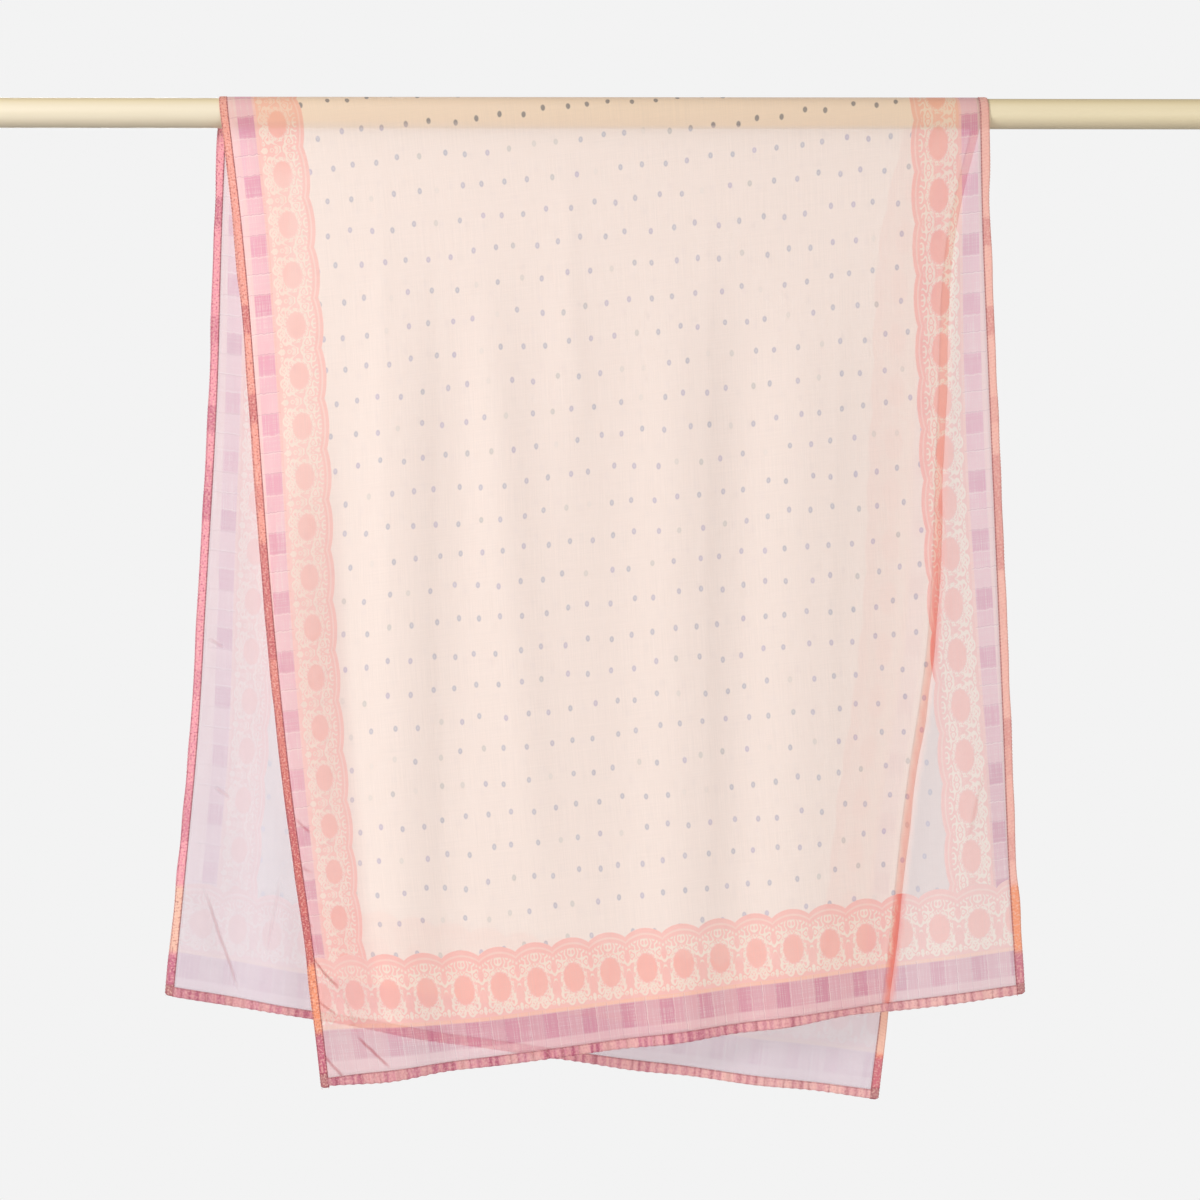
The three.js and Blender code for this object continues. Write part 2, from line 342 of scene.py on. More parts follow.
def place_on_fall(fall, x, z):
    """Across and down of the point of a fall at one x and z, by a few corrections."""
    across = np.full_like(x, 0.5)
    for _ in range(4):
        down = -z / drop_at(fall, across)
        left, right = edge(fall, "left", down), edge(fall, "right", down)
        across = np.clip((x - left) / (right - left), 0, 1)
    return across, down


def inside_fall(fall, x, z):
    """1 inside a fall's outline and 0 outside, with an edge a few millimetres soft."""
    across, down = place_on_fall(fall, x, z)
    left, right = edge(fall, "left", down), edge(fall, "right", down)
    soft = EDGE_SOFTNESS
    sides = ease(x - left, -soft, soft) * ease(right - x, -soft, soft)
    return sides * ease(drop_at(fall, across) + z, -soft, soft)


def backing_of(points, other_fall):
    x, z = points[..., 0], points[..., 2]
    rod = ease(z, -ROD_RADIUS - ROD_EDGE_SOFTNESS, -ROD_RADIUS + ROD_EDGE_SOFTNESS)
    return np.maximum(inside_fall(other_fall, x, z), 2 * rod)


def hem_behind(points):
    """1 where the back fall's right hem runs behind the front fall, and 0 elsewhere."""
    x, z = points[..., 0], points[..., 2]
    _, down = place_on_fall(BACK, x, z)
    from_edge = edge(BACK, "right", down) - x
    band = ease(from_edge, -0.002, 0.002) * (1 - ease(from_edge, 0.006, 0.010))
    return band * ease(-z, *HEM_FADES_IN) * (1 - ease(down, 0.99, 1.0))


# %% [markdown]
# ## A closed shell from a grid
# Real voile is about a fifth of a millimetre thick. A single sheet of faces has no
# inside and exports badly, so each stretch is a closed shell: the printed face, the
# reverse face, and a rim between them. The two faces get two materials, because the
# reverse of a print is paler.

# %% Shell builder
def grid_normals(points):
    along_a = np.gradient(points, axis=0)
    along_b = np.gradient(points, axis=1)
    normal = np.cross(along_a, along_b)
    return normal / np.linalg.norm(normal, axis=-1, keepdims=True)


def grid_faces(rows, columns, start, flip):
    i, j = np.meshgrid(np.arange(rows - 1), np.arange(columns - 1), indexing="ij")
    a = start + i * columns + j
    quad = np.stack([a, a + columns, a + columns + 1, a + 1], axis=-1).reshape(-1, 4)
    return quad[:, ::-1] if flip else quad


def rim_faces(rows, columns):
    """The rim between two grids, going once round their border."""
    ring = [(i, 0) for i in range(rows)]
    ring += [(rows - 1, j) for j in range(1, columns)]
    ring += [(i, columns - 1) for i in range(rows - 2, -1, -1)]
    ring += [(0, j) for j in range(columns - 2, 0, -1)]
    outer = np.array([i * columns + j for i, j in ring])
    inner = outer + rows * columns
    return np.stack([outer, inner, np.roll(inner, -1), np.roll(outer, -1)], axis=-1)


def outward_normals(points, outward):
    """Normals of a grid, turned to face outward, and whether they had to be turned."""
    normals = grid_normals(points)
    turned = np.sum(normals * outward) < 0
    return -normals if turned else normals, turned


def two_faced_mesh(name, outer, inner, turned, smooth_rim):
    """A closed mesh of an outer and an inner grid and their rim, in two materials."""
    rows, columns = outer.shape[:2]
    rim = rim_faces(rows, columns)
    faces = np.concatenate([
        grid_faces(rows, columns, 0, turned),
        grid_faces(rows, columns, rows * columns, not turned),
        rim[:, ::-1] if turned else rim,
    ])
    vertices = np.concatenate([outer.reshape(-1, 3), inner.reshape(-1, 3)])
    mesh = bpy.data.meshes.new(name)
    mesh.from_pydata(vertices.tolist(), [], faces.tolist())
    count = (rows - 1) * (columns - 1)
    mesh.polygons.foreach_set("use_smooth", [True] * 2 * count + [smooth_rim] * len(rim))
    mesh.polygons.foreach_set("material_index", [0] * count + [1] * count + [0] * len(rim))
    return mesh


def at_corners(mesh, values):
    """A value for each vertex, repeated for each corner of a face."""
    corner = np.empty(len(mesh.loops), dtype=np.int64)
    mesh.loops.foreach_get("vertex_index", corner)
    return values[corner]


def lay_map(mesh, name, places):
    """A map from the grid's places, the same on both faces."""
    both = np.concatenate([places.reshape(-1, 2)] * 2)
    mesh.uv_layers.new(name=name).uv.foreach_set("vector", at_corners(mesh, both).ravel())


def shell_mesh(name, points, outward, prints, backing, behind):
    """A closed shell over a grid of points, with its print map and what lies behind."""
    normals, turned = outward_normals(points, outward)
    half = normals * CLOTH_THICKNESS / 2
    mesh = two_faced_mesh(name, points + half, points - half, turned, False)
    lay_map(mesh, "Print", prints)
    for key, values in (("backing", backing), ("hem_behind", behind)):
        attribute = mesh.attributes.new(key, "FLOAT", "POINT")
        attribute.data.foreach_set("value", np.tile(values.ravel(), 2))
    mesh.update()
    return mesh


# %% [markdown]
# If each piece's look is baked to one picture, a plain map would give the printed
# face and its reverse the same room, so the shell lays out its own map: the printed
# face on the wider part, the reverse beside it, and the rim in a thin strip.

# %% The map for baking
PRINT_SHARE = 0.62
MAP_MARGIN = 0.005
RIM_STRIP = (0.002, 0.010)


def lay_bake_map(mesh, shape):
    rows, columns = shape
    i, j = np.divmod(np.arange(rows * columns), columns)
    u, v = i / (rows - 1), 0.02 + 0.97 * j / (columns - 1)
    full = 1 - 2 * MAP_MARGIN
    outer = np.stack([MAP_MARGIN + u * (PRINT_SHARE - 2 * MAP_MARGIN), v], axis=-1)
    inner = np.stack([PRINT_SHARE + MAP_MARGIN + u * (full - PRINT_SHARE), v], axis=-1)
    uv = at_corners(mesh, np.concatenate([outer, inner]))
    faces = 8 * (rows - 1) * (columns - 1)
    rim = (len(uv) - faces) // 4
    steps = np.repeat(np.arange(rim), 4) + np.tile([0, 0, 1, 1], rim)
    low, high = RIM_STRIP
    uv[faces:, 0] = MAP_MARGIN + full * steps / rim
    uv[faces:, 1] = np.tile([low, high, high, low], rim)
    mesh.uv_layers.new(name="OFBake").uv.foreach_set("vector", uv.ravel())


# %% [markdown]
# ## Mixing a print from arithmetic
# A print is drawn here with numbers alone: a band is a range of distances from the
# edge, a disc is a range of distances from a point, and a repeat is a remainder. The
# small desk below writes such sums as shader nodes, so that each motif stays short.

# %% A desk for shader sums
RELIEF_DEPTH = 0.0004
WHITE = (1, 1, 1, 1)


def new_node(tree, kind, inputs, **settings):
    """A node with its settings, and with values or other outputs at its inputs."""
    made = tree.nodes.new(kind)
    for key, value in settings.items():
        setattr(made, key, value)
    for key, value in inputs.items():
        if isinstance(value, bpy.types.NodeSocket):
            tree.links.new(value, made.inputs[key])
        else:
            made.inputs[key].default_value = value
    return made


class Desk:
    """Adds nodes to one material and returns their outputs."""

    def __init__(self, name):
        self.material = bpy.data.materials.new(name)
        self.material.use_nodes = True
        self.tree = self.material.node_tree
        self.tree.nodes.clear()

    def node(self, kind, inputs, **settings):
        return new_node(self.tree, kind, inputs, **settings)

    def finish(self, surface):
        self.node("ShaderNodeOutputMaterial", {"Surface": surface})
        return self.material

    def sum(self, operation, *values, clamp=False):
        settings = {"operation": operation, "use_clamp": clamp}
        return self.node("ShaderNodeMath", dict(enumerate(values)), **settings).outputs[0]

    def times(self, a, b):
        return self.sum("MULTIPLY", a, b)

    def plus(self, a, b):
        return self.sum("ADD", a, b)

    def minus(self, a, b, clamp=False):
        return self.sum("SUBTRACT", a, b, clamp=clamp)

    def divide(self, a, b):
        return self.sum("DIVIDE", a, b)

    def scaled(self, value, factor, offset, clamp=False):
        """A value times a factor, plus an offset."""
        return self.sum("MULTIPLY_ADD", value, factor, offset, clamp=clamp)

    def size(self, value):
        """A value without its sign."""
        return self.sum("ABSOLUTE", value)

    def invert(self, mask):
        return self.minus(1.0, mask)

    def step(self, value, low, high):
        """0 below low and 1 above high, smooth between."""
        inputs = {"Value": value, "From Min": low, "From Max": high}
        return self.node("ShaderNodeMapRange", inputs, interpolation_type="SMOOTHSTEP").outputs[0]

    def band(self, value, low, high, soft):
        rise = self.step(value, low - soft, low + soft)
        fall = self.step(value, high - soft, high + soft)
        return self.minus(rise, fall, clamp=True)

    def within(self, distance, radius, soft=0.5):
        return self.invert(self.step(distance, radius - soft, radius + soft))

    def all(self, *masks):
        """Masks and strengths multiplied together."""
        return functools.reduce(self.times, masks)

    def any(self, *masks):
        return functools.reduce(lambda a, b: self.sum("MAXIMUM", a, b), masks)

    def around(self, x, y):
        """Distance and angle of a point about the origin."""
        squares = self.scaled(x, x, self.times(y, y))
        return self.sum("SQRT", squares), self.sum("ARCTAN2", y, x)

    def wave(self, angle, count, low, high):
        """Soft stripes: 1 where the cosine of count times the angle is high."""
        return self.step(self.sum("COSINE", self.times(angle, count)), low, high)

    def mix(self, factor, a, b):
        """A colour between two."""
        return self.node("ShaderNodeMix", {0: factor, 6: a, 7: b}, data_type="RGBA").outputs[2]

    def blend(self, factor, a, b):
        """A number between two."""
        return self.node("ShaderNodeMix", {0: factor, 2: a, 3: b}, data_type="FLOAT").outputs[0]

    def point(self, x, y):
        return self.node("ShaderNodeCombineXYZ", {0: x, 1: y}).outputs[0]

    def chance(self, x, y):
        """A random number for each whole x and y, and the same one every time."""
        inputs = {"Vector": self.point(x, y)}
        return self.node("ShaderNodeTexWhiteNoise", inputs, noise_dimensions="2D").outputs["Value"]

    def noise(self, vector, scale, detail=2.0):
        inputs = {"Vector": vector, "Scale": scale, "Detail": detail}
        return self.node("ShaderNodeTexNoise", inputs).outputs[0]

    def noise_over(self, x, y, x_scale, y_scale, detail=2.0):
        """A noise stretched by two scales."""
        place = self.point(self.times(x, x_scale), self.times(y, y_scale))
        return self.noise(place, 1.0, detail)

    def axes(self, vector):
        """The x, y and z of a vector."""
        return self.node("ShaderNodeSeparateXYZ", {0: vector}).outputs

    def map(self, name):
        """Both numbers of a place on one of the mesh's maps."""
        return self.axes(self.node("ShaderNodeUVMap", {}, uv_map=name).outputs[0])[:2]

    def stored(self, name):
        """A number kept on the mesh."""
        return self.node("ShaderNodeAttribute", {}, attribute_name=name).outputs["Fac"]

    def relief(self, height, strength):
        inputs = {"Strength": strength, "Distance": RELIEF_DEPTH, "Height": height}
        return self.node("ShaderNodeBump", inputs).outputs[0]

    def mixed(self, factor, first, second):
        """A surface mixed of two."""
        return self.node("ShaderNodeMixShader", {0: factor, 1: first, 2: second}).outputs[0]

    def sheer(self, surface, clearness, tint=WHITE):
        """A surface mixed with clear air, which takes a tint from the dye."""
        clear = self.node("ShaderNodeBsdfTransparent", {0: tint}).outputs[0]
        return self.mixed(clearness, surface, clear)


def dye(red, green, blue):
    """A colour from its 0 to 255 screen values."""
    channels = [c / 255 for c in (red, green, blue)]
    linear = [c / 12.92 if c <= 0.04045 else ((c + 0.055) / 1.055) ** 2.4 for c in channels]
    return (*linear, 1.0)


# %% [markdown]
# ## The border
# The printed border is the same on all four sides, counted in millimetres from the
# cloth's edge: a pale strip, a row of plum checks, a thin line, a lace band with a
# medallion in each repeat, and a double scalloped line. At the ends it runs straight
# across and covers the side borders, as four straight screens would print it. The
# lace is a plain ornament of its own, drawn by formula.

# %% Places and sizes of the border, in millimetres of the print
LINE_END = 43.0
LACE_MIDDLE = 68.0
SCALLOP_INNER = 87.5
BORDER_END = 97.0
SIDE_RISE = 4.5
END_RISE = 6.5
END_SCALE = 0.93
MEDALLION_REPEAT = 47.0
RIGHT_MEDALLION_REPEAT = 48.0
RIGHT_MEDALLION_START = 89.8
RIGHT_CHECK_START = 20.8
END_MEDALLION_REPEAT = 50.6
END_MEDALLION_START = 25.0
MEDALLION_RADIUS = 12.4
SIDE_CHECK_REPEAT = 55.5
END_CHECK_REPEAT = 53.9
END_CHECK_START = 16.2


def print_place(desk):
    """The print's across and along, in millimetres."""
    return tuple(desk.times(axis, 1000.0) for axis in desk.map("Print"))


def scallop_line(desk, lace_step, rise):
    """How far the scallops stand out: round arches over the medallions, with cusps."""
    arch = desk.size(desk.sum("COSINE", desk.times(lace_step, math.pi)))
    return desk.times(desk.sum("POWER", arch, 0.7), rise)


def border_place(desk, across, along):
    """How deep a point is in its border, and how many repeats of lace and of checks along."""
    from_right = desk.minus(PRINT_WIDTH * 1000, across)
    side_depth = desk.sum("MINIMUM", across, from_right)
    end_depth = desk.minus(HALF_LENGTH * 1000, desk.size(along))
    end_depth = desk.times(end_depth, END_SCALE)
    from_start = desk.minus(across, END_MEDALLION_START)
    end_lace = desk.divide(from_start, END_MEDALLION_REPEAT)
    end_scallop = scallop_line(desk, end_lace, END_RISE)
    at_end = desk.sum("LESS_THAN", end_depth, desk.plus(end_scallop, BORDER_END))
    at_right = desk.sum("LESS_THAN", from_right, across)
    lace_start = desk.times(at_right, RIGHT_MEDALLION_START)
    lace_repeat = desk.blend(at_right, MEDALLION_REPEAT, RIGHT_MEDALLION_REPEAT)
    side_lace = desk.divide(desk.minus(along, lace_start), lace_repeat)
    side_scallop = scallop_line(desk, side_lace, SIDE_RISE)
    check_start = desk.times(at_right, RIGHT_CHECK_START)
    side_checks = desk.divide(desk.minus(along, check_start), SIDE_CHECK_REPEAT)
    end_checks = desk.divide(desk.minus(across, END_CHECK_START), END_CHECK_REPEAT)
    depth = desk.blend(at_end, side_depth, end_depth)
    lace = desk.blend(at_end, side_lace, end_lace)
    checks = desk.blend(at_end, side_checks, end_checks)
    return depth, lace, checks, desk.blend(at_end, side_scallop, end_scallop), at_end


def centred(desk, step):
    """From -0.5 to 0.5 over each repeat, with 0 in its middle."""
    return desk.minus(desk.sum("FRACT", desk.plus(step, 0.5)), 0.5)


# %% [markdown]
# Each medallion is a solid disc with a ragged rim in a wreath of small eyes. Between
# the medallions grow curls, with two leaves left plain, faintly on the side borders
# and fully at the ends, and a pair of loops at their foot. The curls are the level
# lines of a smooth noise, mirrored about each medallion: that winds them as a scroll,
# and the mirror makes an ornament of them.

# %% Medallions, curls, leaves and loops
CURL_SCALE = 0.125
CURL_LEVELS = 5.0
LEAF_AT_SIDES = 0.25
LEFT_SQUEEZE = 1.04
RIGHT_SQUEEZE = 0.84
SIDE_NARROWING = 1.10


def loop(desk, x, y, centre_x, centre_y, size):
    """An open ring with a dot in it."""
    distance, _ = desk.around(desk.minus(x, centre_x), desk.minus(y, centre_y))
    return desk.any(desk.band(distance, size - 1.9, size, 0.5), desk.within(distance, 1.1))


def leaf(desk, gap, height, centre, width, length):
    """A plain leaf that stands midway between two medallions."""
    x = desk.divide(gap, width)
    y = desk.divide(desk.minus(height, centre), length)
    distance, _ = desk.around(x, y)
    return desk.within(distance, 1.0, 0.12)


def curls(desk, away, height):
    """Level lines of a noise, as thin winding threads."""
    ground = desk.noise(desk.point(away, height), CURL_SCALE, 0.5)
    level = desk.sum("FRACT", desk.times(ground, CURL_LEVELS))
    return desk.band(level, 0.25, 0.75, 0.13)


def lace_motifs(desk, depth, lace_step, across, at_end):
    """Two masks: the cream figures of the lace, and its solid medallions.

    The medallions of the side borders are narrower, and on the right they are longer.
    """
    at_right = desk.sum("LESS_THAN", PRINT_WIDTH * 500, across)
    side_repeat = desk.blend(at_right, LEFT_SQUEEZE, RIGHT_SQUEEZE)
    squeeze = desk.blend(at_end, side_repeat, 1.0)
    local = desk.all(centred(desk, lace_step), MEDALLION_REPEAT, squeeze)
    height = desk.minus(depth, LACE_MIDDLE)
    bleed = desk.noise(desk.point(local, height), 0.35, 2.0)
    shift = desk.scaled(bleed, 4.0, -2.0)
    away = desk.size(local)
    gap = desk.minus(MEDALLION_REPEAT / 2, away)
    narrowing = desk.blend(at_end, SIDE_NARROWING, 1.0)
    distance, angle = desk.around(local, desk.times(height, narrowing))
    rim = desk.plus(distance, shift)
    disc = desk.within(rim, MEDALLION_RADIUS, 0.8)
    wreath = desk.band(rim, MEDALLION_RADIUS + 1.0, MEDALLION_RADIUS + 4.6, 0.7)
    turn = desk.scaled(bleed, 1.6, angle)
    wreath = desk.all(wreath, desk.wave(turn, 13.0, -0.9, 0.2))
    sizes = ((-8.0, 5.4, 7.5), (12.0, 3.4, 6.0))
    leaves = desk.any(*(leaf(desk, gap, height, *size) for size in sizes))
    outside = desk.step(rim, MEDALLION_RADIUS + 3.4, MEDALLION_RADIUS + 5.0)
    leaves = desk.times(leaves, desk.blend(at_end, LEAF_AT_SIDES, 1.0))
    above = desk.step(height, -23.0, -20.0)
    grown = desk.all(curls(desk, away, height), outside, desk.invert(leaves), above)
    spear = desk.plus(desk.times(gap, 1.3), desk.size(desk.plus(height, 20.0)))
    foot = desk.any(loop(desk, away, height, 6.2, -19.0, 5.0), desk.within(spear, 3.4))
    return desk.any(wreath, grown, foot), disc


# %% [markdown]
# Where the hem's thread draws the cloth in, a fine pucker crosses the row: its shade is
# painted as a dark line, with a painted highlight beside it. Each square takes its own
# strength of dye, so the row looks hand printed rather than stamped by a machine.

# %% Checks and scalloped lines
# start, end and softness of each line of painted shade and painted highlight, in repeats from a
# square's middle
PUCKER_SHADE_LINES = ((0.455, 0.468, 0.006), (-0.196, -0.186, 0.005))
GLINT_HIGHLIGHT_LINES = ((0.472, 0.487, 0.008), (0.184, 0.196, 0.008))


def check_row(desk, depth, check_step):
    """Masks of the row, its squares, the painted shade and painted highlight of its puckers, and a
    number for each square.
    """
    place = centred(desk, check_step)
    row = desk.band(depth, CHECK_START, CHECK_END, 1.1)
    bleed = desk.noise_over(check_step, depth, 9.0, 0.2)
    place = desk.plus(place, desk.scaled(bleed, 0.06, -0.03))
    dark = desk.band(place, -0.18, 0.17, 0.022)
    middle = desk.band(place, 0.19, 0.45, 0.03)
    reach = desk.band(depth, 9.0, CHECK_END + 3, 1.5)
    puckers, pucker_highlights = (
        desk.all(reach, desk.any(*(desk.band(place, *line) for line in lines)))
        for lines in (PUCKER_SHADE_LINES, GLINT_HIGHLIGHT_LINES)
    )
    strength = desk.chance(desk.sum("FLOOR", desk.plus(check_step, 0.5)), 3.0)
    return row, dark, middle, puckers, pucker_highlights, strength


def scalloped_lines(desk, depth, scallop):
    """Masks of the two scalloped lines, of the light between, and of all inside them."""
    level = desk.minus(depth, scallop)
    lines = desk.band(level, SCALLOP_INNER, BORDER_END, 0.9)
    light = desk.band(level, BORDER_END - 6.2, BORDER_END - 4.4, 0.7)
    return lines, light, desk.within(level, BORDER_END)


# %% [markdown]
# ## The dotted field
# The dots are small ovals of slate blue, about thirty millimetres apart, in rows
# along the weft. Each row starts at its own place, each dot strays a little, and a
# few are faint where the block met the cloth lightly.

# %% Dots
DOT_ACROSS = 30.0
DOT_ALONG = 31.0
DOT_RADIUS = 3.05


def dots(desk, across, along):
    """Masks of the dots and of their paler middles, and one number for each dot."""
    sway = desk.noise(desk.point(desk.divide(across, 300.0), desk.divide(along, 300.0)), 2.0)
    along = desk.plus(along, desk.times(desk.minus(sway, 0.5), 14.0))
    row_step = desk.divide(along, DOT_ALONG)
    row = desk.sum("FLOOR", row_step)
    shift = desk.chance(row, 7.0)
    column_step = desk.plus(desk.divide(across, DOT_ACROSS), shift)
    column = desk.sum("FLOOR", column_step)
    stray_x = desk.times(desk.minus(desk.chance(column, row), 0.5), 0.28)
    stray_y = desk.times(desk.minus(desk.chance(row, column), 0.5), 0.16)
    x = desk.minus(desk.minus(desk.sum("FRACT", column_step), 0.5), stray_x)
    y = desk.minus(desk.minus(desk.sum("FRACT", row_step), 0.5), stray_y)
    distance, _ = desk.around(desk.times(x, DOT_ACROSS), desk.times(y, DOT_ALONG))
    dot = desk.invert(desk.step(distance, DOT_RADIUS - 1.0, DOT_RADIUS + 0.7))
    middle = desk.invert(desk.step(distance, 0.6, 1.9))
    luck = desk.chance(desk.plus(column, 0.5), desk.plus(row, 0.5))
    return dot, middle, luck


# %% [markdown]
# ## The cloth's two faces
# The printed face carries the full colours. The reverse is paler and cooler, and the
# print shows faintly through it. Both are partly clear, more so in the open field
# than where dye lies thick. A diffuse and a translucent part share the light, so
# the cloth also glows a little when lit from behind.

# %% Colours of the print
GROUND_ALONE = dye(224, 204, 198)
GROUND_BACKED = dye(255, 240, 226)
GROUND_OVER_ROD = dye(255, 230, 202)
PALE_STRIP = dye(248, 200, 198)
END_STRIP = dye(230, 174, 182)
CHECK_DARK = dye(212, 116, 156)
CHECK_FAINT = dye(232, 150, 178)
CHECK_MIDDLE = dye(238, 172, 190)
CHECK_LIGHT = dye(242, 184, 196)
# plum of the end checks, also used as painted fold shade at the right border's foot
END_CHECK_AND_FOLD_SHADE = dye(178, 60, 100)
# painted shade of the puckers; the white is their painted highlight, and it also lightens thick
# threads
PUCKER_SHADE = dye(170, 100, 130)
SLUB_AND_GLINT_WHITE = dye(255, 236, 232)
LINE_PEACH = dye(255, 188, 160)
LACE_EDGE = dye(255, 190, 178)
LACE_GROUND = dye(255, 176, 164)
LACE_FIGURE = dye(251, 235, 214)
MEDALLION = dye(255, 170, 152)
SCALLOP = dye(255, 178, 166)
SCALLOP_LIGHT = dye(255, 206, 190)
DYE_OVER_ROD = dye(255, 194, 140)
DOT_SLATE = dye(92, 130, 168)
DOT_LILAC = dye(136, 128, 190)
DOT_GREEN = dye(132, 152, 150)
DOT_MIDDLE = dye(186, 204, 220)
DOT_OVER_ROD = dye(66, 88, 104)
FRONT_TONE = dye(184, 160, 168)
# colour of the painted shade where the low left edge curls
CURL_SHADE_TONE = dye(200, 140, 140)
BACK_TONE = dye(186, 178, 196)
REVERSE = dye(248, 232, 236)
BACK_REVERSE = dye(222, 210, 220)
CREASE_SHADE = dye(170, 92, 92)
HEM_THROUGH = dye(238, 98, 84)
RIDGE = dye(176, 120, 124)

FIELD_CLEARNESS = 0.50
DYED_CLEARNESS = 0.38
REVERSE_CLEARNESS = 0.70


def slubs(desk, across, along):
    """Fine thick and thin threads both ways, as a number about 0.5."""
    warp = desk.noise_over(across, along, 1.3, 0.02, 3.0)
    weft = desk.noise_over(across, along, 0.015, 1.1, 3.0)
    return desk.blend(0.35, warp, weft)


def over_rod_mask(desk, backing):
    return desk.minus(backing, 1.0, clamp=True)


def ground_colour(desk, backing):
    cool_to_warm = desk.mix(desk.sum("MINIMUM", backing, 1.0), GROUND_ALONE, GROUND_BACKED)
    return desk.mix(over_rod_mask(desk, backing), cool_to_warm, GROUND_OVER_ROD)


def field_colour(desk, across, along, backing):
    """The ground, the ground with its dots, and the mask of the dots."""
    dot, middle, luck = dots(desk, across, along)
    tone = desk.mix(desk.step(luck, 0.3, 1.2), DOT_SLATE, DOT_LILAC)
    tone = desk.mix(desk.step(luck, 0.22, 0.16), tone, DOT_GREEN)
    tone = desk.mix(desk.times(middle, 0.3), tone, DOT_MIDDLE)
    tone = desk.mix(over_rod_mask(desk, backing), tone, DOT_OVER_ROD)
    ground = ground_colour(desk, backing)
    fullness = desk.blend(desk.step(luck, 0.0, 0.2), 0.20, 0.60)
    fullness = desk.any(fullness, desk.times(over_rod_mask(desk, backing), 0.85))
    return ground, desk.mix(desk.times(dot, fullness), ground, tone), dot


def strip_colour(desk, depth, check_step, across, along, at_end, weave):
    """The pale strip, the checks and the thin line, and the mask of what is darkest."""
    row, dark, middle, puckers, pucker_highlights, strength = check_row(desk, depth, check_step)
    square = desk.mix(strength, CHECK_DARK, CHECK_FAINT)
    checks = desk.mix(dark, desk.mix(middle, CHECK_LIGHT, CHECK_MIDDLE), square)
    low = desk.step(desk.size(along), 300.0, 780.0)
    full = desk.blend(desk.step(across, 60.0, 620.0), 0.58, 0.43)
    checks = desk.mix(desk.blend(at_end, desk.times(low, 0.15), full), checks, END_CHECK_AND_FOLD_SHADE)
    line = desk.mix(at_end, LACE_EDGE, LINE_PEACH)
    margin = desk.mix(at_end, PALE_STRIP, END_STRIP)
    strip = desk.mix(desk.step(depth, CHECK_END - 0.8, CHECK_END + 0.8), margin, line)
    strip = desk.mix(row, strip, checks)
    # painted shade of a fold in the strip near the right border's foot
    right_foot_fold_shade = desk.all(desk.step(across, 840.0, 900.0), desk.step(along, 600.0, 740.0), 0.27)
    strip = desk.mix(desk.all(right_foot_fold_shade, desk.invert(at_end)), strip, END_CHECK_AND_FOLD_SHADE)
    # a little white on the thicker threads of the strip
    strip = desk.mix(desk.times(desk.step(weave, 0.5, 0.66), 0.4), strip, SLUB_AND_GLINT_WHITE)
    # painted shade of each pucker, with a painted highlight beside it
    strip = desk.mix(desk.times(puckers, 0.45), strip, PUCKER_SHADE)
    strip = desk.mix(desk.times(pucker_highlights, 0.4), strip, SLUB_AND_GLINT_WHITE)
    return strip, desk.all(row, dark)


def lace_colour(desk, depth, lace_step, scallop, ground, across, along, at_end):
    """The lace band with its scalloped lines, and the mask of all inside them."""
    figures, disc = lace_motifs(desk, depth, lace_step, across, at_end)
    lines, light, inside = scalloped_lines(desk, depth, scallop)
    wear = desk.noise(desk.point(desk.divide(along, 140.0), desk.divide(depth, 300.0)), 1.0)
    rubbed = desk.all(desk.within(across, 300.0, 100.0), desk.step(along, 820.0, 220.0),
                      desk.step(along, 15.0, 55.0))
    fullness = desk.scaled(wear, 0.5, 0.62, clamp=True)
    fullness = desk.scaled(rubbed, -0.20, fullness)
    drawn = desk.scaled(fullness, 0.4, 0.60)
    drawn = desk.scaled(desk.sum("LESS_THAN", along, 0.0), -0.30, drawn)
    filled = desk.scaled(rubbed, -0.46, fullness)
    lace = desk.mix(fullness, ground, LACE_GROUND)
    lace = desk.mix(desk.all(figures, drawn), lace, LACE_FIGURE)
    lace = desk.mix(desk.times(disc, filled), lace, MEDALLION)
    line = desk.mix(light, SCALLOP, SCALLOP_LIGHT)
    line = desk.mix(desk.scaled(fullness, 0.5, 0.5), ground, line)
    return desk.mix(lines, lace, line), inside


def printed_colour(desk, across, along, weave):
    """The whole print's colour, how thickly it is dyed, and what lies behind it."""
    depth, lace_step, check_step, scallop, at_end = border_place(desk, across, along)
    backing = desk.stored("backing")
    ground, field, dot = field_colour(desk, across, along, backing)
    strip, darkest = strip_colour(desk, depth, check_step, across, along, at_end, weave)
    lace, inside = lace_colour(desk, depth, lace_step, scallop, ground, across, along, at_end)
    over_rod = over_rod_mask(desk, backing)
    lace = desk.mix(desk.times(over_rod, 0.25), lace, DYE_OVER_ROD)
    colour = desk.mix(inside, field, desk.mix(desk.within(depth, LINE_END), lace, strip))
    ridge = desk.times(desk.minus(backing, 2.0, clamp=True), 0.8)
    colour = desk.mix(ridge, colour, RIDGE)
    dyed = desk.any(desk.times(inside, 0.7), desk.times(dot, 0.5), darkest, over_rod)
    behind = desk.stored("hem_behind")
    shown = desk.times(behind, desk.blend(inside, 0.36, 0.95))
    return desk.mix(shown, colour, HEM_THROUGH), dyed, backing


# %% [markdown]
# ## Pressed creases and their painted shade
# Where a corner was folded in the drawer, a fine crease stays. Its shade is painted as
# a dark line, and the weave is a little closer there. The ends of each crease are turned
# into places on the print, and the line is drawn between them, a little shaky and fading at both
# ends.

# %% Lines of the creases
ACROSS_TRUE = 0.70


def crease_ends(fall):
    """Each crease's two ends on the print, in true millimetres, and the strength of its painted
    shade.
    """
    rows = []
    for x0, z0, x1, z1, _, _, darkness in fall["creases"]:
        across, down = place_on_fall(fall, np.array([x0, x1]), np.array([z0, z1]))
        s, t = fall_print(fall, across, down).T * 1000
        if darkness:
            rows.append((s[0] * ACROSS_TRUE, t[0], s[1] * ACROSS_TRUE, t[1], darkness))
    return rows


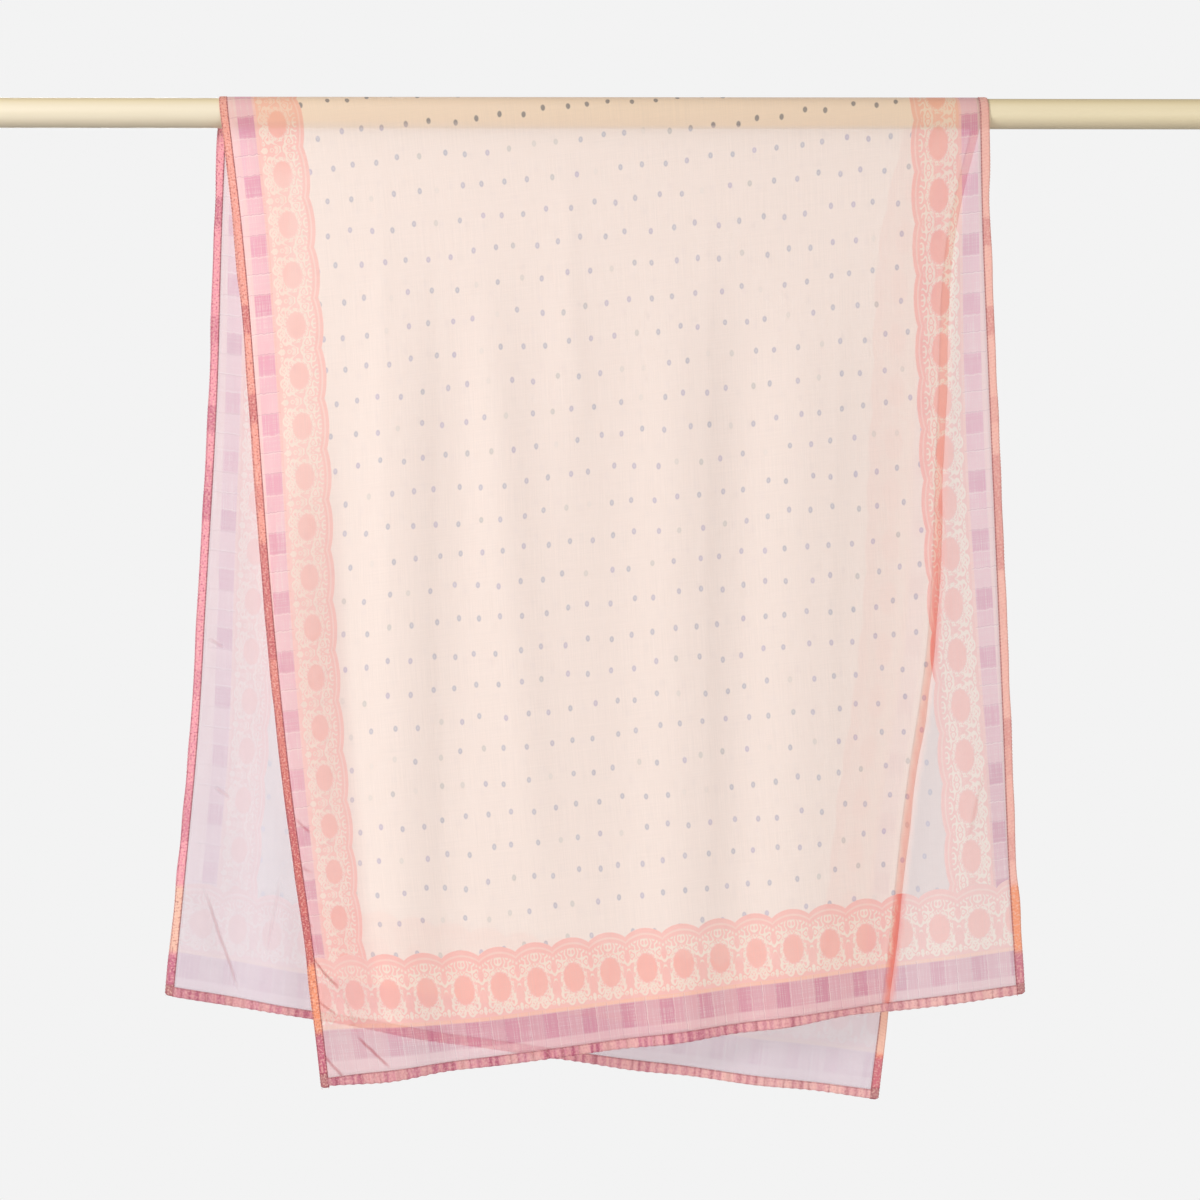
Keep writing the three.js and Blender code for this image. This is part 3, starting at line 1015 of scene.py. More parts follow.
def crease_lines(desk, across, along, fall):
    """One mask of all the creases of one fall."""
    x = desk.times(across, ACROSS_TRUE)
    shake = desk.scaled(desk.noise_over(x, along, 0.05, 0.05, 3.0), 3.0, -1.5)
    total = 0.0
    for x0, y0, x1, y1, strength in crease_ends(fall):
        length = math.hypot(x1 - x0, y1 - y0)
        ux, uy = (x1 - x0) / length, (y1 - y0) / length
        run = desk.scaled(x, ux, desk.scaled(along, uy, -(x0 * ux + y0 * uy)))
        off = desk.scaled(x, uy, desk.scaled(along, -ux, y0 * ux - x0 * uy))
        off = desk.size(desk.plus(off, shake))
        line = desk.invert(desk.step(off, 0.3, 2.4))
        rise = desk.step(run, 0, 0.25 * length)
        fade = desk.all(rise, desk.within(run, 0.88 * length, 0.12 * length))
        total = desk.scaled(desk.all(line, fade), strength, total)
    return desk.sum("MINIMUM", total, 1.0)


# %% Printed face and reverse face
# share of the light that comes through the cloth and not back from it
GLOW_SHARE = 0.18


def voile_surface(desk, colour, clearness, height, strength, plain, tint=WHITE):
    """Joins a colour, a clearness and a relief into a thin cloth's shader.

    Light that bounces meets a plain stand-in of about the same colour and clearness,
    which spares most of the sums.
    """
    face = desk.node("ShaderNodeBsdfPrincipled", {
        "Base Color": colour, "Roughness": 0.85, "Specular IOR Level": 0.15,
        "Sheen Weight": 0.08, "Normal": desk.relief(height, strength),
    }).outputs[0]
    glow = desk.node("ShaderNodeBsdfTranslucent", {"Color": colour}).outputs[0]
    cloth = desk.sheer(desk.mixed(GLOW_SHARE, face, glow), clearness, tint)
    mean_colour, mean_clearness = plain
    stand_in = desk.node("ShaderNodeBsdfDiffuse", {"Color": mean_colour}).outputs[0]
    seen = desk.node("ShaderNodeLightPath", {}).outputs["Is Camera Ray"]
    return desk.finish(desk.mixed(seen, desk.sheer(stand_in, mean_clearness), cloth))


def crease_shaded(desk, colour, clearness, creases):
    """Paints the shade of the creases into a colour as darker lines, and closes the weave there."""
    colour = desk.mix(desk.times(creases, 0.55), colour, CREASE_SHADE)
    return colour, desk.scaled(creases, -0.35, clearness)


# how far cloth with nothing behind it is cooled: the front, and the back from its top
# to its foot
FRONT_COOLING = 0.25
BACK_COOLING = (0.18, 0.60)
# painted shade where the low left edge curls, and white on the thicker threads
CURL_SHADE = 0.27
LINT = 0.05
# how much the weave changes the clearness of each face
WEAVE_IN_PRINT = 0.17
WEAVE_IN_REVERSE = 0.15


def printed_voile(name, fall):
    desk = Desk(name)
    across, along = print_place(desk)
    weave = slubs(desk, across, along)
    colour, dyed, backing = printed_colour(desk, across, along, weave)
    tint = desk.step(weave, 0.35, 0.65)
    colour = desk.mix(desk.times(tint, LINT), colour, dye(255, 252, 246))
    alone = desk.minus(1.0, backing, clamp=True)
    if fall is FRONT:
        colour = desk.mix(desk.times(alone, FRONT_COOLING), colour, FRONT_TONE)
        # painted shade along the low left border, where the edge curls
        curl_shade_mask = desk.all(desk.step(along, 250.0, 480.0), desk.within(across, 110.0, 12.0))
        colour = desk.mix(desk.times(curl_shade_mask, CURL_SHADE), colour, CURL_SHADE_TONE)
    else:
        low = desk.step(desk.size(along), 300.0, 860.0)
        cooled = desk.all(alone, desk.blend(low, *BACK_COOLING))
        colour = desk.mix(cooled, colour, BACK_TONE)
    clearness = desk.blend(dyed, FIELD_CLEARNESS, DYED_CLEARNESS)
    clearness = desk.scaled(desk.minus(weave, 0.5), WEAVE_IN_PRINT, clearness)
    colour, clearness = crease_shaded(desk, colour, clearness, crease_lines(desk, across, along, fall))
    return voile_surface(desk, colour, clearness, weave, 0.35, (GROUND_BACKED, 0.45))


def reverse_voile(name, fall):
    desk = Desk(name)
    across, along = print_place(desk)
    weave = slubs(desk, across, along)
    tint = desk.step(weave, 0.35, 0.65)
    base = REVERSE
    if fall is BACK:
        backing = desk.stored("backing")
        base = desk.mix(desk.sum("MINIMUM", backing, 1.0), BACK_REVERSE, REVERSE)
    colour = desk.mix(desk.times(tint, 0.5), base, dye(255, 246, 246))
    clearness = desk.scaled(desk.minus(weave, 0.5), WEAVE_IN_REVERSE, REVERSE_CLEARNESS)
    if fall is BACK:
        colour, clearness = crease_shaded(desk, colour, clearness, crease_lines(desk, across, along, fall))
    return voile_surface(desk, colour, clearness, weave, 0.25, (REVERSE, REVERSE_CLEARNESS))


FRONT_VOILE, BACK_VOILE = (
    [printed_voile(f"voile_{name}_print", fall), reverse_voile(f"voile_{name}_reverse", fall)]
    for name, fall in (("front", FRONT), ("back", BACK))
)
print("print nodes:", len(FRONT_VOILE[0].node_tree.nodes))

# %% [markdown]
# ## The two stretches of cloth
# Each stretch is a fine grid over its surface, and stops short of its hems. The front
# one runs on over the rod, so that its only seam with the back one is behind the rod.

# %% Cloth pieces
ACROSS_COUNT = 170
DOWN_COUNT = 200
TURN_COUNT = 24
# the cloth ends under its hems, at this share of their width
CLOTH_INSET = 0.9


def add_object(name, data):
    made = bpy.data.objects.new(name, data)
    bpy.context.collection.objects.link(made)
    return made


def add_piece(name, mesh, materials):
    for material in materials:
        mesh.materials.append(material)
    print(name, len(mesh.polygons), "faces")
    return add_object(name, mesh)


def finish_cloth(name, points, outward, prints, backing, behind, voile):
    mesh = shell_mesh(name, points, outward, prints, backing, behind)
    lay_bake_map(mesh, points.shape[:2])
    piece = add_piece(name, mesh, voile)
    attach(piece, "root")
    return piece


def fall_grid(fall):
    """Across and down of each point of a fall's cloth, inside its hems."""
    counts = ACROSS_COUNT, DOWN_COUNT
    a, b = np.meshgrid(*(np.linspace(0, 1, count) for count in counts), indexing="ij")
    inset = SIDE_HEM_WIDTH * CLOTH_INSET / width_at(fall, b)
    across = inset + (1 - 2 * inset) * a
    down = b * (1 - END_HEM_WIDTH * CLOTH_INSET / drop_at(fall, across))
    return across, down


def make_back():
    across, down = fall_grid(BACK)
    points = fall_points(BACK, across, down)
    prints, behind = fall_print(BACK, across, down), np.zeros_like(down)
    return finish_cloth("back_fall_cloth", points, np.array([0, 1, 0]), prints,
                        backing_of(points, FRONT), behind, BACK_VOILE)


def make_front():
    """The turn over the rod, from its back line to its front line, and then the fall."""
    across, down = fall_grid(FRONT)
    points = fall_points(FRONT, across, down)
    a, over = np.meshgrid(across[:, 0], np.linspace(1, 0, TURN_COUNT)[:-1], indexing="ij")
    turn = turn_points(a, over)
    forward = np.broadcast_to([0, -1, 0], points.shape)
    outward = np.concatenate([turn * np.array([0, 1, 1]), forward], axis=1)
    prints = np.concatenate([turn_print(a, over), fall_print(FRONT, across, down)], axis=1)
    ridge = 2.0 + RIDGE_BACKING * np.exp(-(((over - 0.5) / 0.05) ** 2))
    backing = np.concatenate([ridge, backing_of(points, BACK)], axis=1)
    behind = np.concatenate([np.zeros_like(over), hem_behind(points)], axis=1)
    points = np.concatenate([turn, points], axis=1)
    return finish_cloth("front_and_turn_cloth", points, outward, prints,
                        backing, behind, FRONT_VOILE)


front_cloth = make_front()
back_cloth = make_back()
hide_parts("front_fall", "over_rod")
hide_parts("back_fall")

# %% [markdown]
# ## The hems
# Each edge is turned twice and stitched down, which makes a flat band of several
# layers: stronger in colour, a little thick, drawn into small slanting puckers by the
# thread, and never quite straight. The side hems run right through from corner to
# corner over the rod. Each is one closed band lofted along its edge.

# %% The line that a side hem follows
HEM_THICKNESS = 0.0010
HEM_STEP = 0.0011
PUCKER_PITCH = 0.0031
SECTION_COUNT = 7
HEM_TURN_COUNT = 40


def wander(length, count, size, pitch, seed):
    """A slow random wave along a line, the same every time."""
    knots = np.linspace(0, length, round(length / pitch))
    values = np.random.default_rng(seed).normal(0, size, len(knots))
    return smooth_through(knots, values, np.linspace(0, length, count))


def side_hem_grid(name):
    """Points across and along a side hem's middle, front corner to back corner."""
    section = np.linspace(0, 1, SECTION_COUNT)
    down = np.linspace(0, 1, int(HALF_LENGTH / HEM_STEP))

    def across_at(w, width):
        share = SIDE_HEM_WIDTH / width * w
        return 1 - share if name == "right" else share

    def on_fall(fall, down):
        w, d = np.meshgrid(section, down, indexing="ij")
        across = across_at(w, width_at(fall, d))
        return fall_points(fall, across, d), fall_print(fall, across, d)

    over_rod = np.linspace(0, 1, HEM_TURN_COUNT)[1:-1]
    w, over = np.meshgrid(section, over_rod, indexing="ij")
    across = across_at(w, TOP_WIDTH)
    turn = turn_points(across, over), turn_print(across, over)
    parts = on_fall(FRONT, 1 - down), turn, on_fall(BACK, down)
    return [np.concatenate(grids, axis=1) for grids in zip(*parts)]


# %% [markdown]
# The band's two faces swell in the middle and thin to a fold at each long edge. The
# puckers are a fine slanting ripple on both faces, and the outer edge steps in and
# out with them. An end hem is gathered more, into small puffs. The free ends of a
# side hem are the corners of the scarf, and are rounded a little.

# %% Band builder
CORNER_RADIUS = 0.0030
# how thick a hem is where it thins to a fold
FOLD_THICKNESS = 0.00024
# how far the outer edge steps in and out with the puckers
SAW_DEPTH = 0.00034


def band_mesh(name, points, outward, places, thickness, ripple_look, seed):
    """A closed puckered band over a grid: first axis across it, second along it."""
    pitch, depth, slant_share, stray, stray_pitch, corner = ripple_look
    across_count, along_count = points.shape[:2]
    normals, turned = outward_normals(points, outward)
    lengths = np.linalg.norm(np.diff(points[0], axis=0), axis=-1)
    run = np.concatenate([[0], np.cumsum(lengths)])
    share = np.linspace(0, 1, across_count)[:, None]
    swell = np.sqrt(np.clip(1 - (2 * share - 1) ** 4, 0, 1))
    slant = run[None, :] / pitch + share * slant_share
    uneven = 0.65 + 0.35 * np.sin(run / 0.021 + 3 * np.sin(run / 0.083 + seed))
    ripple = np.sin(2 * np.pi * slant) * uneven[None, :]
    half = thickness / 2 * swell * (1 + depth * ripple)
    inward = points[-1] - points[0]
    inward /= np.linalg.norm(inward, axis=-1, keepdims=True)
    from_end = np.clip(corner - np.minimum(run, run[-1] - run), 0, None)
    rounding = corner - np.sqrt(corner ** 2 - from_end ** 2)
    saw = SAW_DEPTH * ripple[0] + wander(run[-1], along_count, stray, stray_pitch, seed) + rounding
    moved = points + inward[None] * (saw[None, :] * (1 - share))[..., None]
    half = normals * np.maximum(half, FOLD_THICKNESS / 2)[..., None]
    mesh = two_faced_mesh(name, moved + half, moved - half, turned, True)
    lay_map(mesh, "Band", np.stack(np.broadcast_arrays(run[None, :], share), axis=-1))
    lay_map(mesh, "Print", places)
    mesh.update()
    return mesh


# %% [markdown]
# A hem shows the same print as the cloth, folded back on itself, so its colours come
# in blocks: coral with plum patches where the checks fold in, peach where the lace
# band of an end crosses it, and small mixed blocks along the ends. A line of shade
# runs along its inner edge and, more thinly, along the fold.

# %% Hem finish
HEM_CORAL = dye(255, 206, 194)
HEM_BROWN = dye(200, 100, 88)
HEM_PLUM = dye(208, 124, 154)
HEM_PEACH = dye(255, 168, 124)
HEM_PALE_PEACH = dye(255, 222, 202)
HEM_APRICOT = dye(252, 188, 166)
HEM_PATCH = dye(206, 112, 122)
HEM_ROSE = dye(232, 166, 184)
HEM_SAND = dye(255, 222, 206)
HEM_PUFF_HIGHLIGHT = dye(248, 196, 196)
HEM_SHADE = dye(158, 78, 88)
HEM_PINK = dye(255, 182, 202)
# painted light: colours of a hem as if lit through from behind
HEM_GLOW = dye(255, 150, 108)
HEM_GLOW_PALE = dye(255, 214, 196)
HEM_CORNER = dye(196, 138, 140)
HEM_CLEARNESS = 0.34
RUCHE_PITCH = 8.6
# pitch, depth and slant of the puckers, size and pitch of the stray, corner radius
SIDE_RIPPLE = (PUCKER_PITCH, 0.28, 0.9, 0.0004, 0.030, CORNER_RADIUS)
END_RIPPLE = (RUCHE_PITCH / 1000, 0.50, 0.12, 0.0007, 0.050, 1e-6)


def hem_blocks(desk, run, size, seed):
    """A run of soft-edged blocks: a random number that changes about once a block."""
    step = desk.divide(run, size)
    whole = desk.sum("FLOOR", step)
    edge_share = desk.step(desk.sum("FRACT", step), 0.75, 1.0)
    now = desk.chance(whole, seed)
    after = desk.chance(desk.plus(whole, 1.0), seed)
    return desk.blend(edge_share, now, after)


def side_hem_colour(desk, along, far_right, inside):
    """Coral outside, pink inside, peach where an end's lace crosses, plum at corners."""
    base = HEM_PINK if inside else HEM_CORAL
    if inside:
        # painted light: the right hem's inside face is bright orange low on the back fall, as if
        # lit through from behind, and paler higher up
        glow = desk.mix(desk.step(along, -480.0, -120.0), HEM_GLOW, HEM_GLOW_PALE)
        base = desk.mix(far_right, base, glow)
    else:
        base = desk.mix(far_right, HEM_APRICOT, base)
        low_left = desk.all(desk.step(along, 300.0, 700.0), desk.invert(far_right))
        base = desk.mix(desk.times(low_left, 0.85), base, HEM_BROWN)
    patches = desk.step(hem_blocks(desk, along, SIDE_CHECK_REPEAT / 2, 5.0), 0.5, 0.95)
    shown = desk.times(patches, desk.blend(far_right, 0.6, 0.12 if inside else 0.45))
    colour = desk.mix(shown, base, HEM_PLUM if inside else HEM_PATCH)
    end_depth = desk.minus(HALF_LENGTH * 1000, desk.size(along))
    crossing = desk.band(end_depth, CHECK_END + 2, BORDER_END + 8, 4.0)
    colour = desk.mix(crossing, colour, HEM_PALE_PEACH if inside else HEM_PEACH)
    colour = desk.mix(desk.times(desk.within(end_depth, CHECK_END, 4.0), 0.7), colour, HEM_PLUM)
    colour = desk.mix(desk.within(end_depth, 10.0, 1.0), colour, HEM_CORNER)
    # painted shade along the end of the hem and along the top edge of the folded corner block
    corner = desk.any(desk.within(end_depth, 1.2, 0.6), desk.band(end_depth, 10.0, 11.2, 0.5))
    return desk.mix(desk.times(corner, 0.6), colour, HEM_SHADE)


def end_hem_colour(desk, across, run):
    """Soft blocks of plum, rose and sand, with a painted highlight on each puff and painted shade
    in the valleys of the gathers.
    """
    blocks = hem_blocks(desk, across, 17.0, 9.0)
    colour = desk.mix(desk.step(blocks, 0.0, 0.6), HEM_PLUM, HEM_ROSE)
    colour = desk.mix(desk.times(desk.step(blocks, 0.6, 1.0), 0.5), colour, HEM_SAND)
    stray = desk.noise(desk.point(desk.times(run, 0.06), 4.0), 1.0)
    step = desk.scaled(stray, 2.4, desk.divide(run, RUCHE_PITCH))
    offset = desk.size(centred(desk, step))
    deep = desk.blend(desk.chance(desk.sum("FLOOR", desk.plus(step, 0.5)), 2.0), 0.30, 0.80)
    # painted highlight in the middle of each puff
    colour = desk.mix(desk.all(desk.step(offset, 0.16, 0.42), 0.62), colour, HEM_PUFF_HIGHLIGHT)
    colour = desk.mix(desk.all(desk.step(across, 480.0, 60.0), 0.25), colour, HEM_SHADE)
    colour = desk.mix(desk.all(desk.step(across, 420.0, 900.0), 0.36), colour, HEM_SAND)
    # painted shade in the valleys between the puffs
    return desk.mix(desk.all(desk.within(offset, 0.12, 0.12), deep, 0.62), colour, HEM_SHADE)


def hem_finish(name, at_end, inside=False):
    desk = Desk(name)
    across, along = print_place(desk)
    run, share = desk.map("Band")
    run = desk.times(run, 1000.0)
    if at_end:
        colour = end_hem_colour(desk, across, run)
    else:
        far_right = desk.step(across, 400.0, 600.0)
        colour = side_hem_colour(desk, along, far_right, inside)
    mottle = desk.noise_over(run, share, 0.55, 4.0, 4.0)
    sandy = desk.times(desk.step(mottle, 0.50, 0.62), 0.3 if at_end else 0.5)
    colour = desk.mix(sandy, colour, HEM_SAND)
    murk = 0.25 if at_end else desk.blend(far_right, 0.6, 0.12)
    colour = desk.mix(desk.all(desk.step(mottle, 0.46, 0.34), murk), colour, HEM_SHADE)
    slant = desk.plus(desk.divide(run, PUCKER_PITCH * 1000), desk.times(share, 0.9))
    wave = desk.step(desk.sum("SINE", desk.times(slant, 2 * math.pi)), -0.2, 0.9)
    fold_line = desk.all(desk.within(share, 0.10, 0.07), desk.blend(wave, 0.20, 0.75))
    seam_line = desk.all(desk.step(share, 0.80, 0.92), desk.blend(wave, 0.30, 0.75))
    if at_end:
        fold_line, seam_line = (desk.times(line, 0.3) for line in (fold_line, seam_line))
    else:
        fold_line = desk.all(fold_line, desk.blend(far_right, 1.0, 0.35))
    # painted shade: dotted lines along the fold and the inner edge, and a faint shade in each
    # slanting pucker
    colour = desk.mix(desk.any(fold_line, seam_line, desk.times(wave, 0.08)), colour, HEM_SHADE)
    tint = desk.mix(0.3 if inside else 0.5, colour, WHITE)
    return voile_surface(desk, colour, HEM_CLEARNESS, mottle, 0.5, (HEM_CORAL, 0.4), tint)


SIDE_HEM_FINISH = [
    hem_finish("voile_side_hem", False),
    hem_finish("voile_side_hem_inside", False, inside=True),
]
END_HEM_FINISH = [hem_finish("voile_end_hem", True)] * 2


# %% Hem pieces
# about an end hem's length, which sets its number of steps
END_HEM_RUN = 0.68
# an end hem starts under the side hem, at this share of its width
END_HEM_INSET = 0.85


def hem_outward(points, side):
    """Which way a hem faces: its fall's way, or away from the rod for a side hem."""
    if side:
        return np.array([0, side, 0])
    return points * np.array([0, 1, 0]) + np.array([0, 0, 0.001])


def make_hem(name, grids, side, thickness, look, seed, finish):
    points, places = grids
    outward = hem_outward(points, side)
    mesh = band_mesh(name, points, outward, places, thickness, look, seed)
    piece = add_piece(name, mesh, finish)
    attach(piece, "root")
    return piece


def make_side_hem(name, seed):
    return make_hem(f"{name}_side_hem", side_hem_grid(name), None, HEM_THICKNESS,
                    SIDE_RIPPLE, seed, SIDE_HEM_FINISH)


def end_hem_grid(fall):
    axes = np.linspace(0, 1, SECTION_COUNT), np.linspace(0, 1, int(END_HEM_RUN / HEM_STEP))
    w, a = np.meshgrid(*axes, indexing="ij")
    inset = SIDE_HEM_WIDTH * END_HEM_INSET / width_at(fall, 1.0)
    across = inset + (1 - 2 * inset) * a
    down = 1 - END_HEM_WIDTH * w / drop_at(fall, across)
    return fall_points(fall, across, down), fall_print(fall, across, down)


def make_end_hem(name, fall, seed):
    return make_hem(f"{name}_end_hem_band", end_hem_grid(fall), fall["side"],
                    HEM_THICKNESS * 0.9, END_RIPPLE, seed, END_HEM_FINISH)


left_hem = make_side_hem("left", 1)
right_hem = make_side_hem("right", 2)
front_end_hem = make_end_hem("front", FRONT, 3)
back_end_hem = make_end_hem("back", BACK, 4)
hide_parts("front_left_hem", "over_rod_left_hem", "back_left_hem")
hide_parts("front_right_hem", "over_rod_right_hem", "back_right_hem")
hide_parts("front_end_hem")
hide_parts("back_end_hem")

# %% [markdown]
# ## The stitches
# A straight line of machine stitches holds each hem, near its inner edge, and the left
# hem has a second one near its fold. It is the same small stitch thousands of times,
# so Geometry Nodes lay it: a line is resampled at the stitch's pitch, a short thread is
# set on each point along the line, and a fixed seed gives each one a slightly
# different turn.

# %% One stitch of thread
def stitch_mesh(length, radius):
    rings, sides = 4, 5
    vertices, faces = [], []
    for i in range(rings):
        share = i / (rings - 1)
        lift = math.sin(math.pi * share) * radius
        size = radius * (0.45 + 0.55 * math.sin(math.pi * share))
        for j in range(sides):
            angle = 2 * math.pi * j / sides
            y, z = size * math.cos(angle), lift + size * math.sin(angle)
            vertices.append(((share - 0.5) * length, y, z))
    for i in range(rings - 1):
        for j in range(sides):
            k = (j + 1) % sides
            faces.append((i * sides + j, (i + 1) * sides + j, (i + 1) * sides + k, i * sides + k))
    faces.append(tuple(range(sides)))
    faces.append(tuple(reversed(range((rings - 1) * sides, rings * sides))))
    mesh = bpy.data.meshes.new("stitch")
    mesh.from_pydata(vertices, [], [tuple(reversed(f)) for f in faces])
    mesh.polygons.foreach_set("use_smooth", [True] * len(faces))
    return mesh


# %% The stitch line's tree
STITCH_INPUTS = {"Geometry": "Geometry", "Pitch": "Float", "Turn": "Float",
                 "Seed": "Int", "Thread": "Material"}


def stitch_tree(stitch):
    tree = bpy.data.node_groups.new("stitch_line", "GeometryNodeTree")
    new_socket = tree.interface.new_socket
    names = {
        name: new_socket(name, in_out="INPUT", socket_type=f"NodeSocket{kind}").identifier
        for name, kind in STITCH_INPUTS.items()
    }
    new_socket("Geometry", in_out="OUTPUT", socket_type="NodeSocketGeometry")

    def node(kind, inputs, **settings):
        return new_node(tree, kind, inputs, **settings).outputs

    given = node("NodeGroupInput", {})
    line = node("GeometryNodeMeshToCurve", {"Mesh": given["Geometry"]})[0]
    spaced = node("GeometryNodeResampleCurve",
                  {"Curve": line, "Length": given["Pitch"]}, mode="LENGTH")[0]
    source = node("GeometryNodeObjectInfo", {"Object": stitch})["Geometry"]
    tangent = node("GeometryNodeInputTangent", {})[0]
    normal = node("GeometryNodeInputNamedAttribute", {"Name": "outward"},
                  data_type="FLOAT_VECTOR")["Attribute"]
    aimed = node("FunctionNodeAlignRotationToVector", {"Vector": tangent}, axis="X")[0]
    upright = node("FunctionNodeAlignRotationToVector",
                   {"Rotation": aimed, "Vector": normal}, axis="Z", pivot_axis="X")[0]
    least = node("ShaderNodeMath", {0: given["Turn"], 1: -1.0}, operation="MULTIPLY")[0]
    jitter = node("FunctionNodeRandomValue",
                  {2: least, 3: given["Turn"], "Seed": given["Seed"]}, data_type="FLOAT")[1]
    turning = node("ShaderNodeCombineXYZ", {2: jitter})[0]
    as_turn = node("FunctionNodeEulerToRotation", {0: turning})[0]
    turned = node("FunctionNodeRotateRotation",
                  {"Rotation": upright, "Rotate By": as_turn}, rotation_space="LOCAL")[0]
    placed = node("GeometryNodeInstanceOnPoints",
                  {"Points": spaced, "Instance": source, "Rotation": turned})[0]
    real = node("GeometryNodeRealizeInstances", {0: placed})[0]
    dressed = node("GeometryNodeSetMaterial", {"Geometry": real, "Material": given["Thread"]})[0]
    node("NodeGroupOutput", {0: dressed})
    return tree, names


# %% Lines to stitch along
STITCH_PITCH = 0.0030
STITCH_LENGTH = 0.0026
THREAD_RADIUS = 0.00017
# places of the two rows, as shares of a hem's width from its fold
STITCH_PLACES = (0.13, 0.90)
# height over the hem's middle, as a share of its thickness
STITCH_LIFT = 0.42
# most that a stitch turns, in radians
STITCH_TURN = 0.12
# the guides take every fourth point of a hem's line
GUIDE_STEP = 4


def stitch_lines():
    """Runs of points and outward directions, on both faces of each hem.

    The left hem has two rows of stitches, and the others only the inner one.
    """
    runs = []
    grids = [side_hem_grid("left"), side_hem_grid("right"), end_hem_grid(FRONT), end_hem_grid(BACK)]
    sides = [None, None, FRONT["side"], BACK["side"]]
    for (points, _), side in zip(grids, sides):
        normals, _ = outward_normals(points, hem_outward(points, side))
        for place in STITCH_PLACES if points is grids[0][0] else STITCH_PLACES[1:]:
            line = points[0] + (points[-1] - points[0]) * place
            for normal in (normals[-1], -normals[-1]):
                lifted = line + normal * (HEM_THICKNESS * STITCH_LIFT)
                runs.append((lifted[::GUIDE_STEP], normal[::GUIDE_STEP]))
    return runs


def line_object(runs):
    vertices, outward = (np.concatenate(arrays) for arrays in zip(*runs))
    edges, start = [], 0
    for points, _ in runs:
        edges += [(i, i + 1) for i in range(start, start + len(points) - 1)]
        start += len(points)
    mesh = bpy.data.meshes.new("stitch_guides")
    mesh.from_pydata(vertices.tolist(), edges, [])
    attribute = mesh.attributes.new("outward", "FLOAT_VECTOR", "POINT")
    attribute.data.foreach_set("vector", outward.ravel())
    return add_object("stitch_guides", mesh)


# %% Thread and stitches
def thread_finish():
    desk = Desk("maroon_thread")
    place = desk.node("ShaderNodeTexCoord", {}).outputs["Object"]
    ply = desk.step(desk.noise(place, 900.0), 0.35, 0.65)
    colour = desk.mix(ply, dye(168, 92, 104), dye(200, 128, 134))
    inputs = {"Base Color": colour, "Roughness": 0.55}
    return desk.finish(desk.node("ShaderNodeBsdfPrincipled", inputs).outputs[0])


def lay_stitches():
    guide = line_object(stitch_lines())
    stitch = add_object("stitch", stitch_mesh(STITCH_LENGTH, THREAD_RADIUS))
    tree, names = stitch_tree(stitch)
    modifier = guide.modifiers.new("stitches", "NODES")
    modifier.node_group = tree
    inputs = {"Pitch": STITCH_PITCH, "Turn": STITCH_TURN, "Seed": 4, "Thread": thread_finish()}
    for name, value in inputs.items():
        modifier[names[name]] = value
    shown = guide.evaluated_get(bpy.context.evaluated_depsgraph_get())
    piece = add_piece("hem_stitches", bpy.data.meshes.new_from_object(shown), [])
    for helper in (guide, stitch):
        bpy.data.objects.remove(helper)
    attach(piece, "root")
    return piece


stitches = lay_stitches()

# %% [markdown]
# ## The rod
# A wooden rod painted cream and rubbed to a satin. The solid is right as it is, so it
# only gets a finish: a warm cream with faint long brush marks and a soft shine, and
# painted shade that makes its top darker and yellower and its underside darker.

# %% Rod finish
def painted_rod():
    desk = Desk("cream_satin_paint")
    place = desk.node("ShaderNodeTexCoord", {}).outputs["Object"]
    inputs = {0: place, "Scale": (6.0, 260.0, 260.0)}
    brush = desk.noise(desk.node("ShaderNodeMapping", inputs).outputs[0], 1.0, 4.0)
    x, _, height = desk.axes(place)
    paint = desk.mix(desk.step(x, -0.2, 0.6), dye(229, 216, 190), dye(236, 220, 182))
    # faint brush marks, then painted shade: the top darker and yellower, the underside darker
    for mask, strength, colour in (
        (desk.step(brush, 0.4, 0.7), 0.10, dye(214, 196, 160)),
        (desk.step(height, 0.004, ROD_RADIUS), 0.7, dye(220, 196, 140)),
        (desk.step(height, -0.004, -ROD_RADIUS), 0.5, dye(186, 164, 128)),
    ):
        paint = desk.mix(desk.times(mask, strength), paint, colour)
    return desk.finish(desk.node("ShaderNodeBsdfPrincipled", {
        "Base Color": paint, "Roughness": 0.38, "Coat Weight": 0.7,
        "Coat Roughness": 0.35, "Normal": desk.relief(brush, 0.08),
    }).outputs[0])


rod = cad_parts["rod"]
rod.data.materials.clear()
rod.data.materials.append(painted_rod())

# %% [markdown]
# ## Room, light and camera
# The room is a plain pale floor in an even pale surround. One broad soft lamp stands
# in front, above and to the left, and a weaker one to the right, which is enough to
# round the rod and to show the flutes. A third lights the cloth from behind.

# %% Room
FLOOR_HALF = 1.1
FLOOR_LEVEL = -1.35


